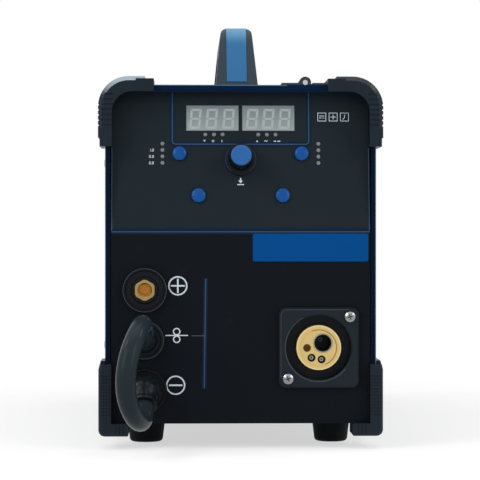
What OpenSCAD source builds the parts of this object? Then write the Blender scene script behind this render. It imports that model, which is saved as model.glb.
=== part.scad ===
// Portable MIG welding machine with a built-in wire feeder, lengths in millimetres.
// X points to the right as the welder faces the controls, Y to the back and Z up.
// The origin lies on the floor, under the middle of the machine.

/* [Case] */
// Width over the sheet case
case_w = 212; // [208:1:240]
// Height of the sheet case, without the feet
case_h = 265; // [262:1:300]
// Depth of the sheet case
case_d = 450; // [440:5:520]
// Radius of the case's upper corners
corner_r = 18; // [14:1:20]
// Thickness of the cover sheets
cover_t = 1.2; // [0.8:0.1:1.6]
// Depth of the fixed hoop at each end
hoop_d = 34; // [32:1:40]
// Width of the hoop's folded edge
hoop_lip = 4; // [3.5:0.5:5]
// Height of the rubber feet below the case
foot_h = 19.5; // [12:0.5:25]
// Largest diameter of a foot
foot_top_d = 31; // [26:1:34]
// Distance between the left and the right feet
foot_span = 150; // [120:2:160]

/* [Front panel] */
// Wall thickness of the front and back panels
panel_t = 3; // [2.5:0.5:3.5]
// Lean of the control panel, in degrees
panel_lean = 7; // [0:0.5:9]
// Height of the crease under the controls, above the case bottom
crease_h = 150.5; // [148:0.5:156]
// Thickness of the printed control film
film_t = 0.5; // [0.3:0.1:0.8]
// Width of one display window
display_w = 41; // [38:1:44]
// Height of one display window
display_h = 20; // [18:0.2:21]
// Diameter of a push button
button_d = 11.2; // [9:0.2:13]
// Travel of a push button
button_travel = 1.2; // [0.8:0.1:1.5]
// Diameter of an indicator lamp
led_d = 3; // [2:0.5:4]
// Diameter of the adjusting knob's skirt
knob_d = 25; // [22:0.5:28]
// Length of the adjusting knob, from the film to its cap
knob_len = 24; // [20:0.5:28]

/* [Sockets and polarity lead] */
// Distance of the weld sockets from the middle
socket_x = 75; // [72:0.2:77]
// Height of the positive socket above the case bottom
plus_h = 104.5; // [102:0.5:110]
// Flange diameter of a weld socket
socket_d = 35; // [33:0.5:37]
// Bore of a weld socket's brass contact
contact_bore = 9.2; // [8.8:0.1:9.8]
// Diameter of the polarity lead
lead_d = 15; // [12:0.5:15]

/* [Torch socket] */
// Distance of the torch socket from the middle
torch_x = 61; // [58:0.5:62]
// Height of the torch socket above the case bottom
torch_h = 59.5; // [58:0.5:64]
// Width of the square torch flange
torch_flange_w = 62.5; // [60:0.5:66]
// Diameter of the recess round the brass body
torch_recess_d = 51; // [48:0.5:54]
// Diameter of the torch socket's brass body
torch_brass_d = 35.4; // [34:0.2:37]
// Diameter of the main hole in the brass body
torch_hole_d = 13.6; // [12:0.2:14]

/* [Handle] */
// Length of the handle's base
handle_len = 230; // [210:5:280]
// Height of the handle above the case
handle_h = 61; // [50:1:65]
// Width of the handle at its grip
handle_top_w = 27; // [25:1:32]
// Width of the handle at its base
handle_base_w = 37; // [34:1:42]
// Thickness of the grip
grip_t = 21; // [18:1:24]
// Width of the coloured strip let into the handle
strip_w = 17; // [13:1:19]

/* [Side door] */
// Distance of the hinge line from the middle
hinge_x = 53; // [50:1:56]
// Length of one hinge
hinge_len = 46; // [40:2:60]
// Diameter of a hinge knuckle
knuckle_d = 9.5; // [8.5:0.5:10]
// Diameter of a hinge pin
hinge_pin_d = 4; // [3:0.5:5]
// Diameter of the latch's knob
latch_d = 26; // [22:1:32]

/* [Wire feeder] */
// Diameter of the drive roll
drive_roll_d = 30; // [28:1:32]
// Diameter of the pressure roll
idler_d = 24; // [22:1:26]
// Distance from the front panel to the drive roll
feeder_depth = 98; // [96:1:110]
// Diameter of the feed motor
motor_d = 54; // [48:1:56]
// Diameter of the spool hub
hub_d = 50; // [44:1:52]
// Diameter of the largest spool that fits
spool_d = 200; // [180:5:200]

/* [Back panel] */
// Width of the square fan
fan_w = 92; // [84:1:92]
// Length of the hose tail at the gas inlet
gas_tail = 30; // [25:1:38]
// Outer diameter of the hose tail
gas_tail_d = 8; // [6:0.5:10]
// Bore of the mains lead's gland
mains_bore = 10.4; // [9:0.2:12]

/* [Hidden] */
$fn = 64;

// colours
c_blue = [0.02, 0.13, 0.33];
c_black = [0.07, 0.08, 0.09];
c_rubber = [0.12, 0.14, 0.16];
c_bright_blue = [0.2, 0.42, 0.68];
c_brass = [0.85, 0.7, 0.4];
c_steel = [0.7, 0.72, 0.74];
c_grey = [0.5, 0.54, 0.56];

// clearances
eps = 0.01;         // overlap that makes a clean cut
seat_gap = 0.2;     // between pieces that are screwed or clipped together
run_gap = 0.05;     // radial clearance of a shaft in its bore
move_gap = 0.3;     // between pieces that pass each other
plug_gap = 0.1;     // radial, round the pin of the lead's plug
sheet_gap = 0.8;    // between a cover and a hoop, edge to edge

// the case
z0 = foot_h;
zt = foot_h + case_h;
hw = case_w / 2;
knob_reach = knob_len - 8;
yf = -(case_d + gas_tail - knob_reach) / 2;
yb = yf + case_d;
ym = (yf + yb) / 2;
bend_r = 3;
hoop_t = 2;
lip_t = 1.5;
rail_t = 1.4;       // inner rail of a hoop that the covers sit on
rail_reach = 12;
rail_inset = cover_t + seat_gap;
inner_inset = max(rail_inset + rail_t, hoop_t) + seat_gap;
yc0 = yf + hoop_d + sheet_gap;
yc1 = yb - hoop_d - sheet_gap;
cover_foot = z0 + 4;
split_gap = 0.5;
arc_n = 14;
louvre_len = 46;
louvre_out = 3.2;
louvre_rows = 8;
louvre_pitch = 13;

// the panels
panel_recess = 1;
yp = yf + panel_recess;
panel_inset = hoop_lip + 0.3;
zc = z0 + crease_h;
panel_top = zt - panel_inset;
rim_d = 18;
rim_w = 2.5;
film_margin = 0.5;
film_top_v = (panel_top - zc) / cos(panel_lean) - film_margin;
film_foot_v = 0.3;

// controls, as distances across and up the leaning panel
display_x = 22;
display_v = 89.8;
upper_button = [48, 61.5];
lower_button = [33, 28.2];
knob_v = 56.5;
lamp_row_x = 20.8;
lamp_row_v = 76.7;
lamp_row_pitch = 6.8;
lamp_column_x = 61.3;
lamp_column_v = 69.4;
lamp_pitch = 5.1;
board_z = -14;
board_t = 1.6;
board_front = board_z + board_t;
shaft_d = 6;
bush_d = 7;
knob_push = 0.8;
knob_foot = film_t + knob_push + 0.4;
knob_body_d = 19.6;
cap_d = 16;
button_gap = 0.3;
tact_top = board_front + 3.4;

// sockets; the gland and the negative one are tied to the lead's route
gland_h = 65.5;
minus_h = 26;
plus_z = z0 + plus_h;
gland_z = z0 + gland_h;
minus_z = z0 + minus_h;
socket_body_d = 27;
contact_af = 15.2;
contact_d = 16.3;   // over the hexagon's rounded corners
contact_face = 2.6;
contact_mouth = 1.2;
gland_d = 30.7;
gland_len = 9;
torch_z = z0 + torch_h;
torch_depth = 12;
torch_barrel_d = torch_recess_d + 5;
torch_screw_pitch = 48.4;
torch_tail = 42;

// the lead rises from its gland, then loops down into the boot of its plug and swings a
// little outwards on the way; neither bend is tighter than twice the lead's diameter
rise_r = 45;
loop_r = 36.3;
loop_swing = 12;
boot_d = 25.5;
boot_knee = 22;     // where the boot bends, in front of the panel
boot_droop = 42;
boot_len = 14;
boot_end_d = lead_d + 3.2;

// wire feeder
wire_z = torch_z;
ydr = yp + feeder_depth;
drive_z = wire_z - drive_roll_d / 2;
idler_z = wire_z + idler_d / 2 + move_gap;
plate_x = torch_x - 22;
plate_t = 8;
plate_w = 104;
plate_h = 82;
plate_corner = [31, 15];  // cut out at the back of the plate's top, for the tension knob
roll_x = torch_x - 3;
roll_w = 12;
shaft_r = 5;
idler_w = 10;
stub_d = 8;
arm_x = plate_x + plate_t + 2;
arm_t = 7;
arm_pivot_y = ydr - 36;
arm_pivot_z = idler_z + 6;
bolt_y = ydr + 36;
bolt_z = wire_z - 14;
bolt_len = 62;
bolt_d = 6;
bolt_pin_d = 5;
guide_d = 8;
bolt_lean = 50;
bolt_x = arm_x + arm_t / 2;
divider_x = 8;
divider_t = 1.5;
floor_t = 1.5;
floor_z = z0 + inner_inset + floor_t;
spool_y = yc1 - spool_d / 2 - 12;
spool_z = floor_z + spool_d / 2 + 14;
axle_d = 20;
hub_len = 58;

// back of the machine
fan_x = -48;
fan_z = z0 + 150;
fan_t = 25;
yr = yb - panel_recess;
switch_x = 58;
switch_z = z0 + 210;
mains_z = z0 + 110;
gas_z = z0 + 50;
rear_fit_x = 62;

// outlines and placing

function arc(cx, cy, r, a0, a1, n = arc_n) =
  [for (i = [0:n]) [cx + r * cos(a0 + (a1 - a0) * i / n), cy + r * sin(a0 + (a1 - a0) * i / n)]];

// rounded rectangle about the middle
function round_rect(w, h, r, n = 8) = concat(
  arc(w / 2 - r, h / 2 - r, r, 0, 90, n), arc(r - w / 2, h / 2 - r, r, 90, 180, n),
  arc(r - w / 2, r - h / 2, r, 180, 270, n), arc(w / 2 - r, r - h / 2, r, 270, 360, n));

// the case's outline seen from the front, drawn in by side and top, and at the bottom
function case_outline(inset, low) =
  let (r = corner_r - inset, b = max(bend_r - inset, 0.5), w = hw - inset)
  concat(
    arc(w - r, zt - inset - r, r, 0, 90), arc(r - w, zt - inset - r, r, 90, 180),
    arc(b - w, z0 + low + b, b, 180, 270, 4), arc(w - b, z0 + low + b, b, 270, 360, 4));

// a flat shape in X and Z, given depth along Y
module slab_y(y, d) translate([0, y + d, 0]) rotate([90, 0, 0]) linear_extrude(d) children();

// a flat shape in Y and Z, given width along X
module slab_x(x, w) translate([x, 0, 0]) rotate([90, 0, 90]) linear_extrude(w) children();

module case_ring(inset, wall, low0 = -1, low1 = -1) difference() {
  polygon(case_outline(inset, low0 < 0 ? inset : low0));
  polygon(case_outline(inset + wall, low1 < 0 ? inset + wall : low1));
}

// local Z points out of the front face, at the sockets
module on_front(x, z) translate([x, yp, z]) rotate([90, 0, 0]) children();

// local Z points out of the leaning control panel, local Y up along it
module on_panel(x, v) translate([0, yp, zc]) rotate([90 - panel_lean, 0, 0])
  translate([x, v, 0]) children();

// local Z points out of the back panel
module on_back(x, z) translate([x, yr, z]) rotate([-90, 0, 0]) children();

// local Z points to the right
module along_x(x, y, z) translate([x, y, z]) rotate([90, 0, 90]) children();

module mirror_pair() {
  children();
  mirror([1, 0, 0]) children();
}

module at_back() translate([0, 2 * ym, 0]) mirror([0, 1, 0]) children();

module ring_solid(d, bore, h) difference() {
  cylinder(d = d, h = h);
  translate([0, 0, -eps]) cylinder(d = bore, h = h + 2 * eps);
}

// sheet-metal case

// an open hoop with a folded edge, and an inner rail that the covers sit on
module hoop() difference() {
  union() {
    slab_y(yf, lip_t) case_ring(0, hoop_lip);
    slab_y(yf, hoop_d) case_ring(0, hoop_t);
    slab_y(yf + hoop_d - 6, 6 + rail_reach) case_ring(rail_inset, inner_inset - seat_gap - rail_inset);
  }
  // the panel's foot passes in front of the hoop's lower run
  translate([hoop_lip - hw, yf - 1, z0 - 1])
    cube([case_w - 2 * hoop_lip, 1 + panel_recess + panel_t + seat_gap, 1 + hoop_lip]);
  cover_screw_sites() cylinder(d = 4.3, h = 20, center = true, $fn = 32);
}

// where the left cover is screwed to the rails; local Z points inwards
module cover_screw_sites() for (y = [yc0 + rail_reach / 2 - 1, yc1 - rail_reach / 2 + 1]) {
  for (z = [z0 + 60, z0 + 205]) translate([-hw, y, z]) rotate([0, 90, 0]) children();
  for (x = [10 - hw + corner_r, hinge_x - 24]) translate([x, y, zt]) rotate([180, 0, 0]) children();
}

module front_frame() color(c_blue) hoop();

module rear_frame() color(c_blue) at_back() hoop();

module base_tray() color(c_blue) difference() {
  union() {
    translate([inner_inset - hw, yf + rim_d + 10, z0 + inner_inset])
      cube([case_w - 2 * inner_inset, case_d - 2 * (rim_d + 10), floor_t]);
    mirror_pair() translate([hw - inner_inset - floor_t, yf + rim_d + 10, z0 + inner_inset])
      cube([floor_t, case_d - 2 * (rim_d + 10), 15]);
  }
  foot_sites() translate([0, 0, -eps]) cylinder(d = 5.5, h = foot_h + 40, $fn = 32);
}

module foot_sites() for (x = [-1, 1], y = [yf + 62, yb - 62])
  translate([x * foot_span / 2, y, 0]) children();

// rubber feet that taper down, with a recess for the screw
module feet() color(c_black) foot_sites() rotate_extrude() polygon(concat(
  [[6, 0]], arc(foot_top_d / 2 - 5, 3, 3, 270, 350, 6),
  [[foot_top_d / 2, foot_h], [foot_top_d / 2 - 2, foot_h], [foot_top_d / 2 - 2, z0 + inner_inset],
   [2.6, z0 + inner_inset], [2.6, 6], [6, 6]]));

// blue sheet over the left side and the top, up to the hinge line
module left_cover() color(c_blue) {
  difference() {
    union() {
      slab_y(yc0, yc1 - yc0) difference() {
        case_ring(0, cover_t);
        translate([-case_w, z0 - 1]) square([2 * case_w, cover_foot - z0 + 1]);
        translate([hinge_x - split_gap, z0]) square([case_w, case_h + 1]);
      }
      // folded edge along the hinge line
      translate([hinge_x - split_gap - cover_t, yc0 + rail_reach + 1, zt - 10])
        cube([cover_t, yc1 - yc0 - 2 * rail_reach - 2, 10 - eps]);
      louvre_sites() louvre_hood();
    }
    louvre_sites() louvre_cut();
    cover_screw_sites() cylinder(d = 4.6, h = 8, center = true, $fn = 32);
  }
}

// pressed louvres, open downwards
module louvre_sites() for (i = [0:louvre_rows - 1], y = [yf + 90, yb - 90 - louvre_len])
  translate([-hw, y, z0 + 70 + louvre_pitch * i]) children();

module louvre_hood() slab_y(0, louvre_len) polygon([
  [cover_t / 2, 5], [0, 5], [-0.75 * louvre_out, 3.4], [-louvre_out, 0.6], [-louvre_out, -2.2],
  [cover_t / 2, -2.2]]);

module louvre_cut() slab_y(1, louvre_len - 2) polygon([
  [cover_t + 1, 3.6], [0, 3.6], [1 - 0.95 * louvre_out, 2.3], [1 - louvre_out, 0.2],
  [1 - louvre_out, -2.3], [cover_t + 1, -2.3]]);

// blue door over the right side, with the strip of the top beyond the hinges
module side_door() color(c_blue) difference() {
  slab_y(yc0, yc1 - yc0) difference() {
    case_ring(0, cover_t);
    translate([-case_w, z0 - 1]) square([2 * case_w, cover_foot - z0 + 1]);
    translate([-case_w, z0]) square([case_w + hinge_x + split_gap, case_h + 1]);
  }
  translate([hw, ym, latch_z]) rotate([0, 90, 0])
    cylinder(d = latch_shaft_d + 2 * run_gap, h = 8, center = true);
}

// quarter-turn latch: its cam lies level when open and hooks behind the tray's edge when shut
latch_z = z0 + 34;
latch_shaft_d = 12;
cam_top = -(inner_inset + floor_t + move_gap);
cam_t = 1.6;
cam_len = 24;
module door_latch() color(c_black) translate([hw, ym, latch_z]) rotate([0, 90, 0]) {
  difference() {
    rotate_extrude() polygon([
      [0, 0], [latch_d / 2, 0], [latch_d / 2, 2], [latch_d / 2 - 1.2, 3.2], [latch_d / 2 - 5, 3.2],
      [latch_d / 2 - 6, 2.2], [0, 2.2]]);
    translate([-2, -6, 1.2]) cube([4, 12, 3]);
  }
  translate([-3, -latch_d / 2 + 2, 2]) cube([6, 5, 1.2]);
  translate([0, 0, cam_top - cam_t]) cylinder(d = latch_shaft_d, h = -cam_top + cam_t + eps);
  translate([-5, -cam_len, cam_top - cam_t]) cube([10, cam_len, cam_t]);
}

// plastic butt hinges: fixed leaves with two knuckles each, door leaves with one between them
leaf_t = 5;
leaf_w = 19;
knuckle_z = zt + 0.55 + knuckle_d / 2;
hinge_run = knuckle_d / 2 + 1;
module hinge_sites() for (y = [yc0 + 6, yc1 - 6 - hinge_len]) translate([hinge_x, y, 0]) children();

module knuckle(from, to, d) translate([0, to, knuckle_z]) rotate([90, 0, 0])
  cylinder(d = d, h = to - from, $fn = 48);

module hinge_leaf(side, own, others) difference() {
  union() {
    difference() {
      translate([side > 0 ? 0.8 : -leaf_w, 0, zt]) cube([leaf_w - 0.8, hinge_len, leaf_t]);
      for (k = others) knuckle(k[0] - move_gap, k[1] + move_gap, 2 * hinge_run);
      for (y = [9, hinge_len - 9]) translate([side * 13, y, zt + leaf_t - 1.6])
        cylinder(d1 = 4, d2 = 7.4, h = 1.7, $fn = 32);
    }
    for (k = own) knuckle(k[0], k[1], knuckle_d);
  }
  knuckle(-1, hinge_len + 1, hinge_pin_d + 2 * run_gap);
}

knuckle_in = [hinge_len / 4 + 0.15, hinge_len * 3 / 4 - 0.15];
knuckles_out = [[0, hinge_len / 4 - 0.15], [hinge_len * 3 / 4 + 0.15, hinge_len]];
module hinge_leaves_fixed() color(c_black) hinge_sites() hinge_leaf(-1, knuckles_out, [knuckle_in]);

module hinge_leaves_door() color(c_black) hinge_sites() hinge_leaf(1, [knuckle_in], knuckles_out);

module hinge_pins() color(c_steel) hinge_sites() knuckle(-0.4, hinge_len + 0.4, hinge_pin_d);

// pan-head screws that hold the left cover
module case_screws() color(c_steel) cover_screw_sites() {
  translate([0, 0, -2.2]) pan_head(8, 2.2);
  translate([0, 0, -eps]) cylinder(d = 4, h = 6, $fn = 32);
}

// a pan head with its top at z = 0 and a cross recess in it
module pan_head(d, h) difference() {
  rotate_extrude() polygon([
    [0, 0], [d * 0.3, 0], [d * 0.45, h * 0.3], [d / 2, h * 0.75], [d / 2, h], [0, h]]);
  for (a = [0, 90]) rotate(a) translate([-d * 0.28, -d * 0.055, -eps])
    cube([d * 0.56, d * 0.11, h * 0.6]);
}

// moulded panels in the two ends

function panel_profile(shift, y0, y1) = [
  [yp + y0, z0], [yp + y0, zc], [yp + y0 + shift, panel_top + eps],
  [yp + y1 + shift, panel_top + eps], [yp + y1, zc], [yp + y1, z0]];

// a flat skin with a rim behind it; shift is how far its top leans back
module panel_shell(shift) {
  intersection() {
    slab_y(yf, hoop_d) polygon(case_outline(panel_inset, seat_gap));
    slab_x(-case_w, 2 * case_w) polygon(panel_profile(shift, 0, panel_t));
  }
  intersection() {
    slab_y(yf, 2 * hoop_d) case_ring(panel_inset, rim_w, inner_inset, inner_inset + rim_w);
    slab_x(-case_w, 2 * case_w) polygon(panel_profile(shift, panel_t - eps, rim_d));
  }
}

module front_panel() color(c_black) difference() {
  panel_shell((panel_top + eps - zc) * tan(panel_lean));
  on_front(-socket_x, plus_z) cylinder(d = socket_body_d + seat_gap, h = 20, center = true);
  on_front(-socket_x, minus_z) cylinder(d = socket_body_d + seat_gap, h = 20, center = true);
  on_front(-socket_x, gland_z) cylinder(d = 22 + seat_gap, h = 20, center = true);
  on_front(torch_x, torch_z) cylinder(d = torch_barrel_d + seat_gap, h = 20, center = true);
  torch_screw_sites() translate([0, 0, -10]) cylinder(d = 4.3, h = 20, $fn = 32);
  panel_openings(10);
}

// everything that shows through the control panel: windows, lamps, buttons and the knob's bush
module panel_openings(h) {
  for (x = [-display_x, display_x]) on_panel(x, display_v) translate([0, 0, -h])
    linear_extrude(2 * h) square([display_w + 2 * seat_gap, display_h + 2 * seat_gap], center = true);
  lamp_sites() translate([0, 0, -h]) cylinder(d = led_d + 0.2, h = 2 * h, $fn = 24);
  button_sites() translate([0, 0, -h]) cylinder(d = button_d + 2 * button_gap, h = 2 * h);
  on_panel(0, knob_v) translate([0, 0, -h]) cylinder(d = bush_d + 2 * seat_gap, h = 2 * h);
}

module lamp_sites() {
  for (s = [-1, 1], i = [-1, 0, 1])
    on_panel(s * lamp_row_x + lamp_row_pitch * i, lamp_row_v) children();
  for (s = [-1, 1], i = [0:3]) on_panel(s * lamp_column_x, lamp_column_v - lamp_pitch * i) children();
}

module button_sites() {
  for (s = [-1, 1], p = [upper_button, lower_button]) on_panel(s * p[0], p[1]) children();
}

// printed film over the leaning panel
module control_film() color(c_black) difference() {
  w = hw - panel_inset - film_margin;
  r = corner_r - panel_inset - film_margin;
  on_panel(0, 0) linear_extrude(film_t) polygon(concat(
    arc(w - r, film_top_v - r, r, 0, 90), arc(r - w, film_top_v - r, r, 90, 180),
    [[-w, film_foot_v], [w, film_foot_v]]));
  panel_openings(5);
}

// back panel with the fan grille, the switch and the two inlets
module rear_panel() color(c_black) difference() {
  at_back() panel_shell(0);
  on_back(fan_x, fan_z) translate([0, 0, -10]) linear_extrude(20) difference() {
    for (r = [9:7.5:fan_w / 2 - 9]) difference() {
      circle(r = r + 5);
      circle(r = r);
    }
    for (a = [45, 135]) rotate(a) square([fan_w * 2, 4.5], center = true);
  }
  on_back(switch_x, switch_z) translate([0, 0, -10]) linear_extrude(20) square([22.4, 30.4], center = true);
  on_back(rear_fit_x, mains_z) translate([0, 0, -10]) cylinder(d = 20 + seat_gap, h = 20);
  on_back(rear_fit_x, gas_z) translate([0, 0, -10]) cylinder(d = 13 + seat_gap, h = 20);
}

// corner bumpers, moulded rubber that laps over the hoop
bump_nose = 6;
bump_back = hoop_d - 2;
bump_bevel = 3.5;
upper_out = 5.4;
upper_up = 6.5;
upper_r = 24;
upper_leg_v = 55;
upper_leg_h = 43.5;
upper_lap = 1.5;
lug_len = 14;
function upper_envelope(off) = let (x = hw + upper_out, z = zt + upper_up) concat(
  [[x - upper_leg_h, z - upper_leg_v], [x - upper_leg_h, z - off]],
  arc(x - upper_r, z - upper_r, upper_r - off, 90, 0), [[x - off, z - upper_leg_v]]);

module upper_bumper() {
  xo = hw + upper_out;
  zo = zt + upper_up;
  xi = hw - hoop_lip - upper_lap;
  zi = zt - hoop_lip - upper_lap;
  x_end = xo - upper_leg_h;
  z_end = zo - upper_leg_v;
  y_lug = yf - bump_nose - 0.4;
  difference() {
    union() {
      difference() {
        hull() {
          slab_y(yf - bump_nose, eps) polygon(upper_envelope(bump_bevel));
          slab_y(yf - bump_nose + bump_bevel, bump_nose - bump_bevel + bump_back) polygon(upper_envelope(0));
        }
        // both ends step down behind their lugs
        translate([x_end - 1, yf - 50, zo - 2]) cube([lug_len / 2 + 1, 100, 10]);
        translate([xo - 1.4, yf - 50, z_end - 1]) cube([10, 100, lug_len / 2 + 1]);
        for (i = [0:6]) translate([0, 0, z_end + lug_len + 2 + 4 * i]) {
          translate([xi - 1, yf - bump_nose - 1, 0]) cube([xo - xi + 2, 1.8, 1.4]);
          translate([xo - 0.8, yf - bump_nose - 1, 0]) cube([2, bump_nose + bump_back + 2, 1.4]);
        }
      }
      translate([x_end, y_lug, zi]) cube([lug_len, bump_nose, zo - 2 - zi]);
      translate([xi, y_lug, z_end]) cube([xo - 1.4 - xi, bump_nose, lug_len]);
    }
    slab_y(yf - 50, 50) polygon(concat(
      [[x_end - 1, z_end - 1], [x_end - 1, zi]], arc(xi - 16, zi - 16, 16, 90, 0), [[xi, z_end - 1]]));
    slab_y(yf - seat_gap, 100) polygon(case_outline(-seat_gap, -seat_gap));
  }
}

lower_out = 5;
lower_down = 9.3;
lower_r = 5;
lower_bevel = 2;
lower_leg_v = 56;
lower_leg_h = 23;
lower_step = 2.7;
function lower_envelope(off) = let (x = hw + lower_out, z = z0 - lower_down) concat(
  [[x - lower_leg_h, z + lower_leg_v + lower_step], [x - lower_leg_h, z + off]],
  arc(x - lower_r, z + lower_r, lower_r - off, 270, 360, 6),
  [[x - off, z + lower_leg_v - 4], [x - off - 1.6, z + lower_leg_v + lower_step]]);

module lower_bumper() {
  xo = hw + lower_out;
  xi = hw - hoop_lip - 1;
  zl = z0 - lower_down;
  z_face = zl + lower_leg_v;
  difference() {
    hull() {
      slab_y(yf - bump_nose, eps) polygon(lower_envelope(lower_bevel));
      slab_y(yf - bump_nose + lower_bevel, bump_nose - lower_bevel + bump_back) polygon(lower_envelope(0));
    }
    // the face stops short of the side wall
    translate([xi - 50, yf - 50, z_face]) cube([100, 50 - seat_gap, 20]);
    for (i = [0:12]) translate([xi - 1, yf - bump_nose - 1, z0 + 7 + 2.5 * i]) cube([xo - xi + 2, 1.6, 1.1]);
    for (i = [0:2]) translate([xo - lower_leg_h + 3 + 3 * i, yf - bump_nose - 1, zl - 1])
      cube([1.1, 1.6, lower_down + 3]);
    slab_y(yf - 50, 50) translate([xo - lower_leg_h - 1, z0 + 0.5])
      square([xi - xo + lower_leg_h + 1, 100]);
    slab_y(yf - seat_gap, 100) polygon(case_outline(-seat_gap, -seat_gap));
  }
}

module front_upper_bumpers() color(c_rubber) mirror_pair() upper_bumper();

module front_lower_bumpers() color(c_rubber) mirror_pair() lower_bumper();

module rear_upper_bumpers() color(c_rubber) at_back() mirror_pair() upper_bumper();

module rear_lower_bumpers() color(c_rubber) at_back() mirror_pair() lower_bumper();

// carrying handle: an arch from front to back, with a coloured strip let into it
handle_slope = 34;
handle_angle = atan2(handle_h, handle_slope);
strip_t = 3;
strip_foot = 12;    // where the strip ends, above the case
function arch(len, h, slope, r) = let (a = atan2(h, slope), c = len / 2 - slope - r * tan(a / 2)) concat(
  [[len / 2, 0]], arc(c, h - r, r, 90 - a, 90), arc(-c, h - r, r, 90, 90 + a), [[-len / 2, 0]]);

function arch_inset(d) = arch(
  handle_len - 2 * d / sin(handle_angle), handle_h - d, handle_slope * (handle_h - d) / handle_h, 24 - d);

module in_handle(x, w) slab_x(x, w) translate([ym, zt]) children();

module handle_body() color(c_black) difference() {
  intersection() {
    in_handle(-handle_base_w, 2 * handle_base_w) polygon(arch_inset(0));
    slab_y(ym - handle_len, 2 * handle_len) translate([0, zt]) polygon(concat(
      [[-handle_base_w / 2, 0], [handle_base_w / 2, 0]],
      arc(handle_top_w / 2 - 7, handle_h - 7, 7, 0, 90),
      arc(7 - handle_top_w / 2, handle_h - 7, 7, 90, 180)));
  }
  in_handle(-handle_base_w, 2 * handle_base_w)
    translate([0, -1]) polygon(arch(handle_len - 84, handle_h - grip_t + 1, 18, 14));
  intersection() {
    in_handle(-strip_w / 2 - seat_gap, strip_w + 2 * seat_gap) difference() {
      polygon(arch_inset(-2));
      polygon(arch_inset(strip_t + seat_gap));
    }
    translate([-50, ym - handle_len, zt + strip_foot]) cube([100, 2 * handle_len, handle_h + 10]);
  }
}

module handle_strip() color(c_bright_blue) intersection() {
  in_handle(-strip_w / 2, strip_w) difference() {
    polygon(arch_inset(-0.4));
    polygon(arch_inset(strip_t));
  }
  translate([-50, ym - handle_len, zt + strip_foot + seat_gap]) cube([100, 2 * handle_len, handle_h + 10]);
}

// controls

// two window blocks, seated on the board
module displays() color(c_grey) for (x = [-display_x, display_x]) on_panel(x, display_v)
  translate([0, 0, board_front]) linear_extrude(film_t + 0.1 - board_front)
    square([display_w, display_h], center = true);

module indicator_lamps() color(c_grey) lamp_sites() {
  translate([0, 0, board_front]) cylinder(d = led_d, h = film_t - board_front, $fn = 24);
  translate([0, 0, film_t]) intersection() {
    translate([0, 0, -led_d / 2]) sphere(d = led_d * 1.4142, $fn = 24);
    cylinder(d = led_d - eps, h = led_d, $fn = 24);
  }
}

// domed cap with a collar behind the panel and a stem over the board's switch
module push_button(x, v) color(c_bright_blue) on_panel(x, v) rotate_extrude() polygon(concat(
  [[0, tact_top + button_travel + 0.1], [2, tact_top + button_travel + 0.1], [2, -panel_t - 2.2],
   [button_d / 2 + 1.2, -panel_t - 2.2], [button_d / 2 + 1.2, -panel_t - seat_gap],
   [button_d / 2, -panel_t - seat_gap], [button_d / 2, film_t + button_travel + 0.4]],
  [for (i = [1:6]) [button_d / 2 * cos(15 * i), film_t + button_travel + 0.4 + 2 * sin(15 * i)]]));

module button_wire_size() push_button(-upper_button[0], upper_button[1]);

module button_process() push_button(upper_button[0], upper_button[1]);

module button_jog() push_button(-lower_button[0], lower_button[1]);

module button_purge() push_button(lower_button[0], lower_button[1]);

// board behind the panel, on four pillars, with the push switches and the knob's encoder
plunger_d = 8;
plunger_t = 1.4;
plunger_bed = board_front + 1;
encoder_top = -panel_t - 3;
shaft_foot = plunger_bed + knob_push + 0.3 + plunger_t;
module control_board() color([0.1, 0.35, 0.2]) {
  on_panel(0, 0) translate([-84, 14, board_z]) cube([168, 92, board_t]);
  for (x = [-78, 78], v = [20, 100]) on_panel(x, v) translate([0, 0, board_front])
    cylinder(d = 6, h = -panel_t - board_front, $fn = 32);
  button_sites() translate([-3, -3, board_front]) cube([6, 6, tact_top - board_front]);
  on_panel(0, knob_v) difference() {
    union() {
      translate([-7, -7, board_front]) cube([14, 14, encoder_top - board_front]);
      translate([0, 0, encoder_top - eps]) cylinder(d = bush_d, h = film_t + 0.2 - encoder_top);
    }
    translate([0, 0, plunger_bed])
      cylinder(d = plunger_d + 2 * move_gap, h = encoder_top - 1.2 - plunger_bed);
    translate([0, 0, plunger_bed]) cylinder(d = shaft_d + 2 * run_gap, h = 40);
  }
}

// disc under the knob's shaft that works the encoder's push switch
module encoder_plunger() color(c_steel) on_panel(0, knob_v)
  translate([0, 0, shaft_foot - 0.1 - plunger_t]) cylinder(d = plunger_d, h = plunger_t);

// fluted knob with a skirt, on its shaft
module adjust_knob() color(c_black) on_panel(0, knob_v) {
  rotate_extrude() polygon([
    [0, knob_foot], [knob_d / 2, knob_foot], [knob_d / 2, knob_foot + 2], [knob_d / 2 - 1.4, knob_foot + 3],
    [knob_body_d / 2 - 1, knob_foot + 3.4], [0, knob_foot + 3.4]]);
  intersection() {
    rotate_extrude() polygon([
      [0, knob_foot], [knob_body_d / 2, knob_foot], [cap_d / 2 + 1.1, knob_len - 1.8],
      [cap_d / 2 + 0.5, knob_len - 0.8], [cap_d / 2, knob_len - 0.8], [cap_d / 2, knob_len - cap_t],
      [0, knob_len - cap_t]]);
    linear_extrude(knob_len) difference() {
      circle(d = knob_d);
      for (i = [0:17]) rotate(20 * i) translate([knob_body_d / 2 + 0.2, 0]) circle(r = 1.1, $fn = 24);
    }
  }
  translate([0, 0, shaft_foot]) cylinder(d = shaft_d, h = knob_foot + 2 - shaft_foot);
}

cap_t = 3;
module knob_cap() color(c_bright_blue) on_panel(0, knob_v) translate([0, 0, knob_len - cap_t])
  rotate_extrude() polygon([
    [0, 0], [cap_d / 2 - 0.1, 0], [cap_d / 2 - 0.1, cap_t - 0.6], [cap_d / 2 - 1, cap_t - 0.1],
    [cap_d / 2 - 3.5, cap_t], [0, cap_t - 0.3]]);

// sockets

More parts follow.
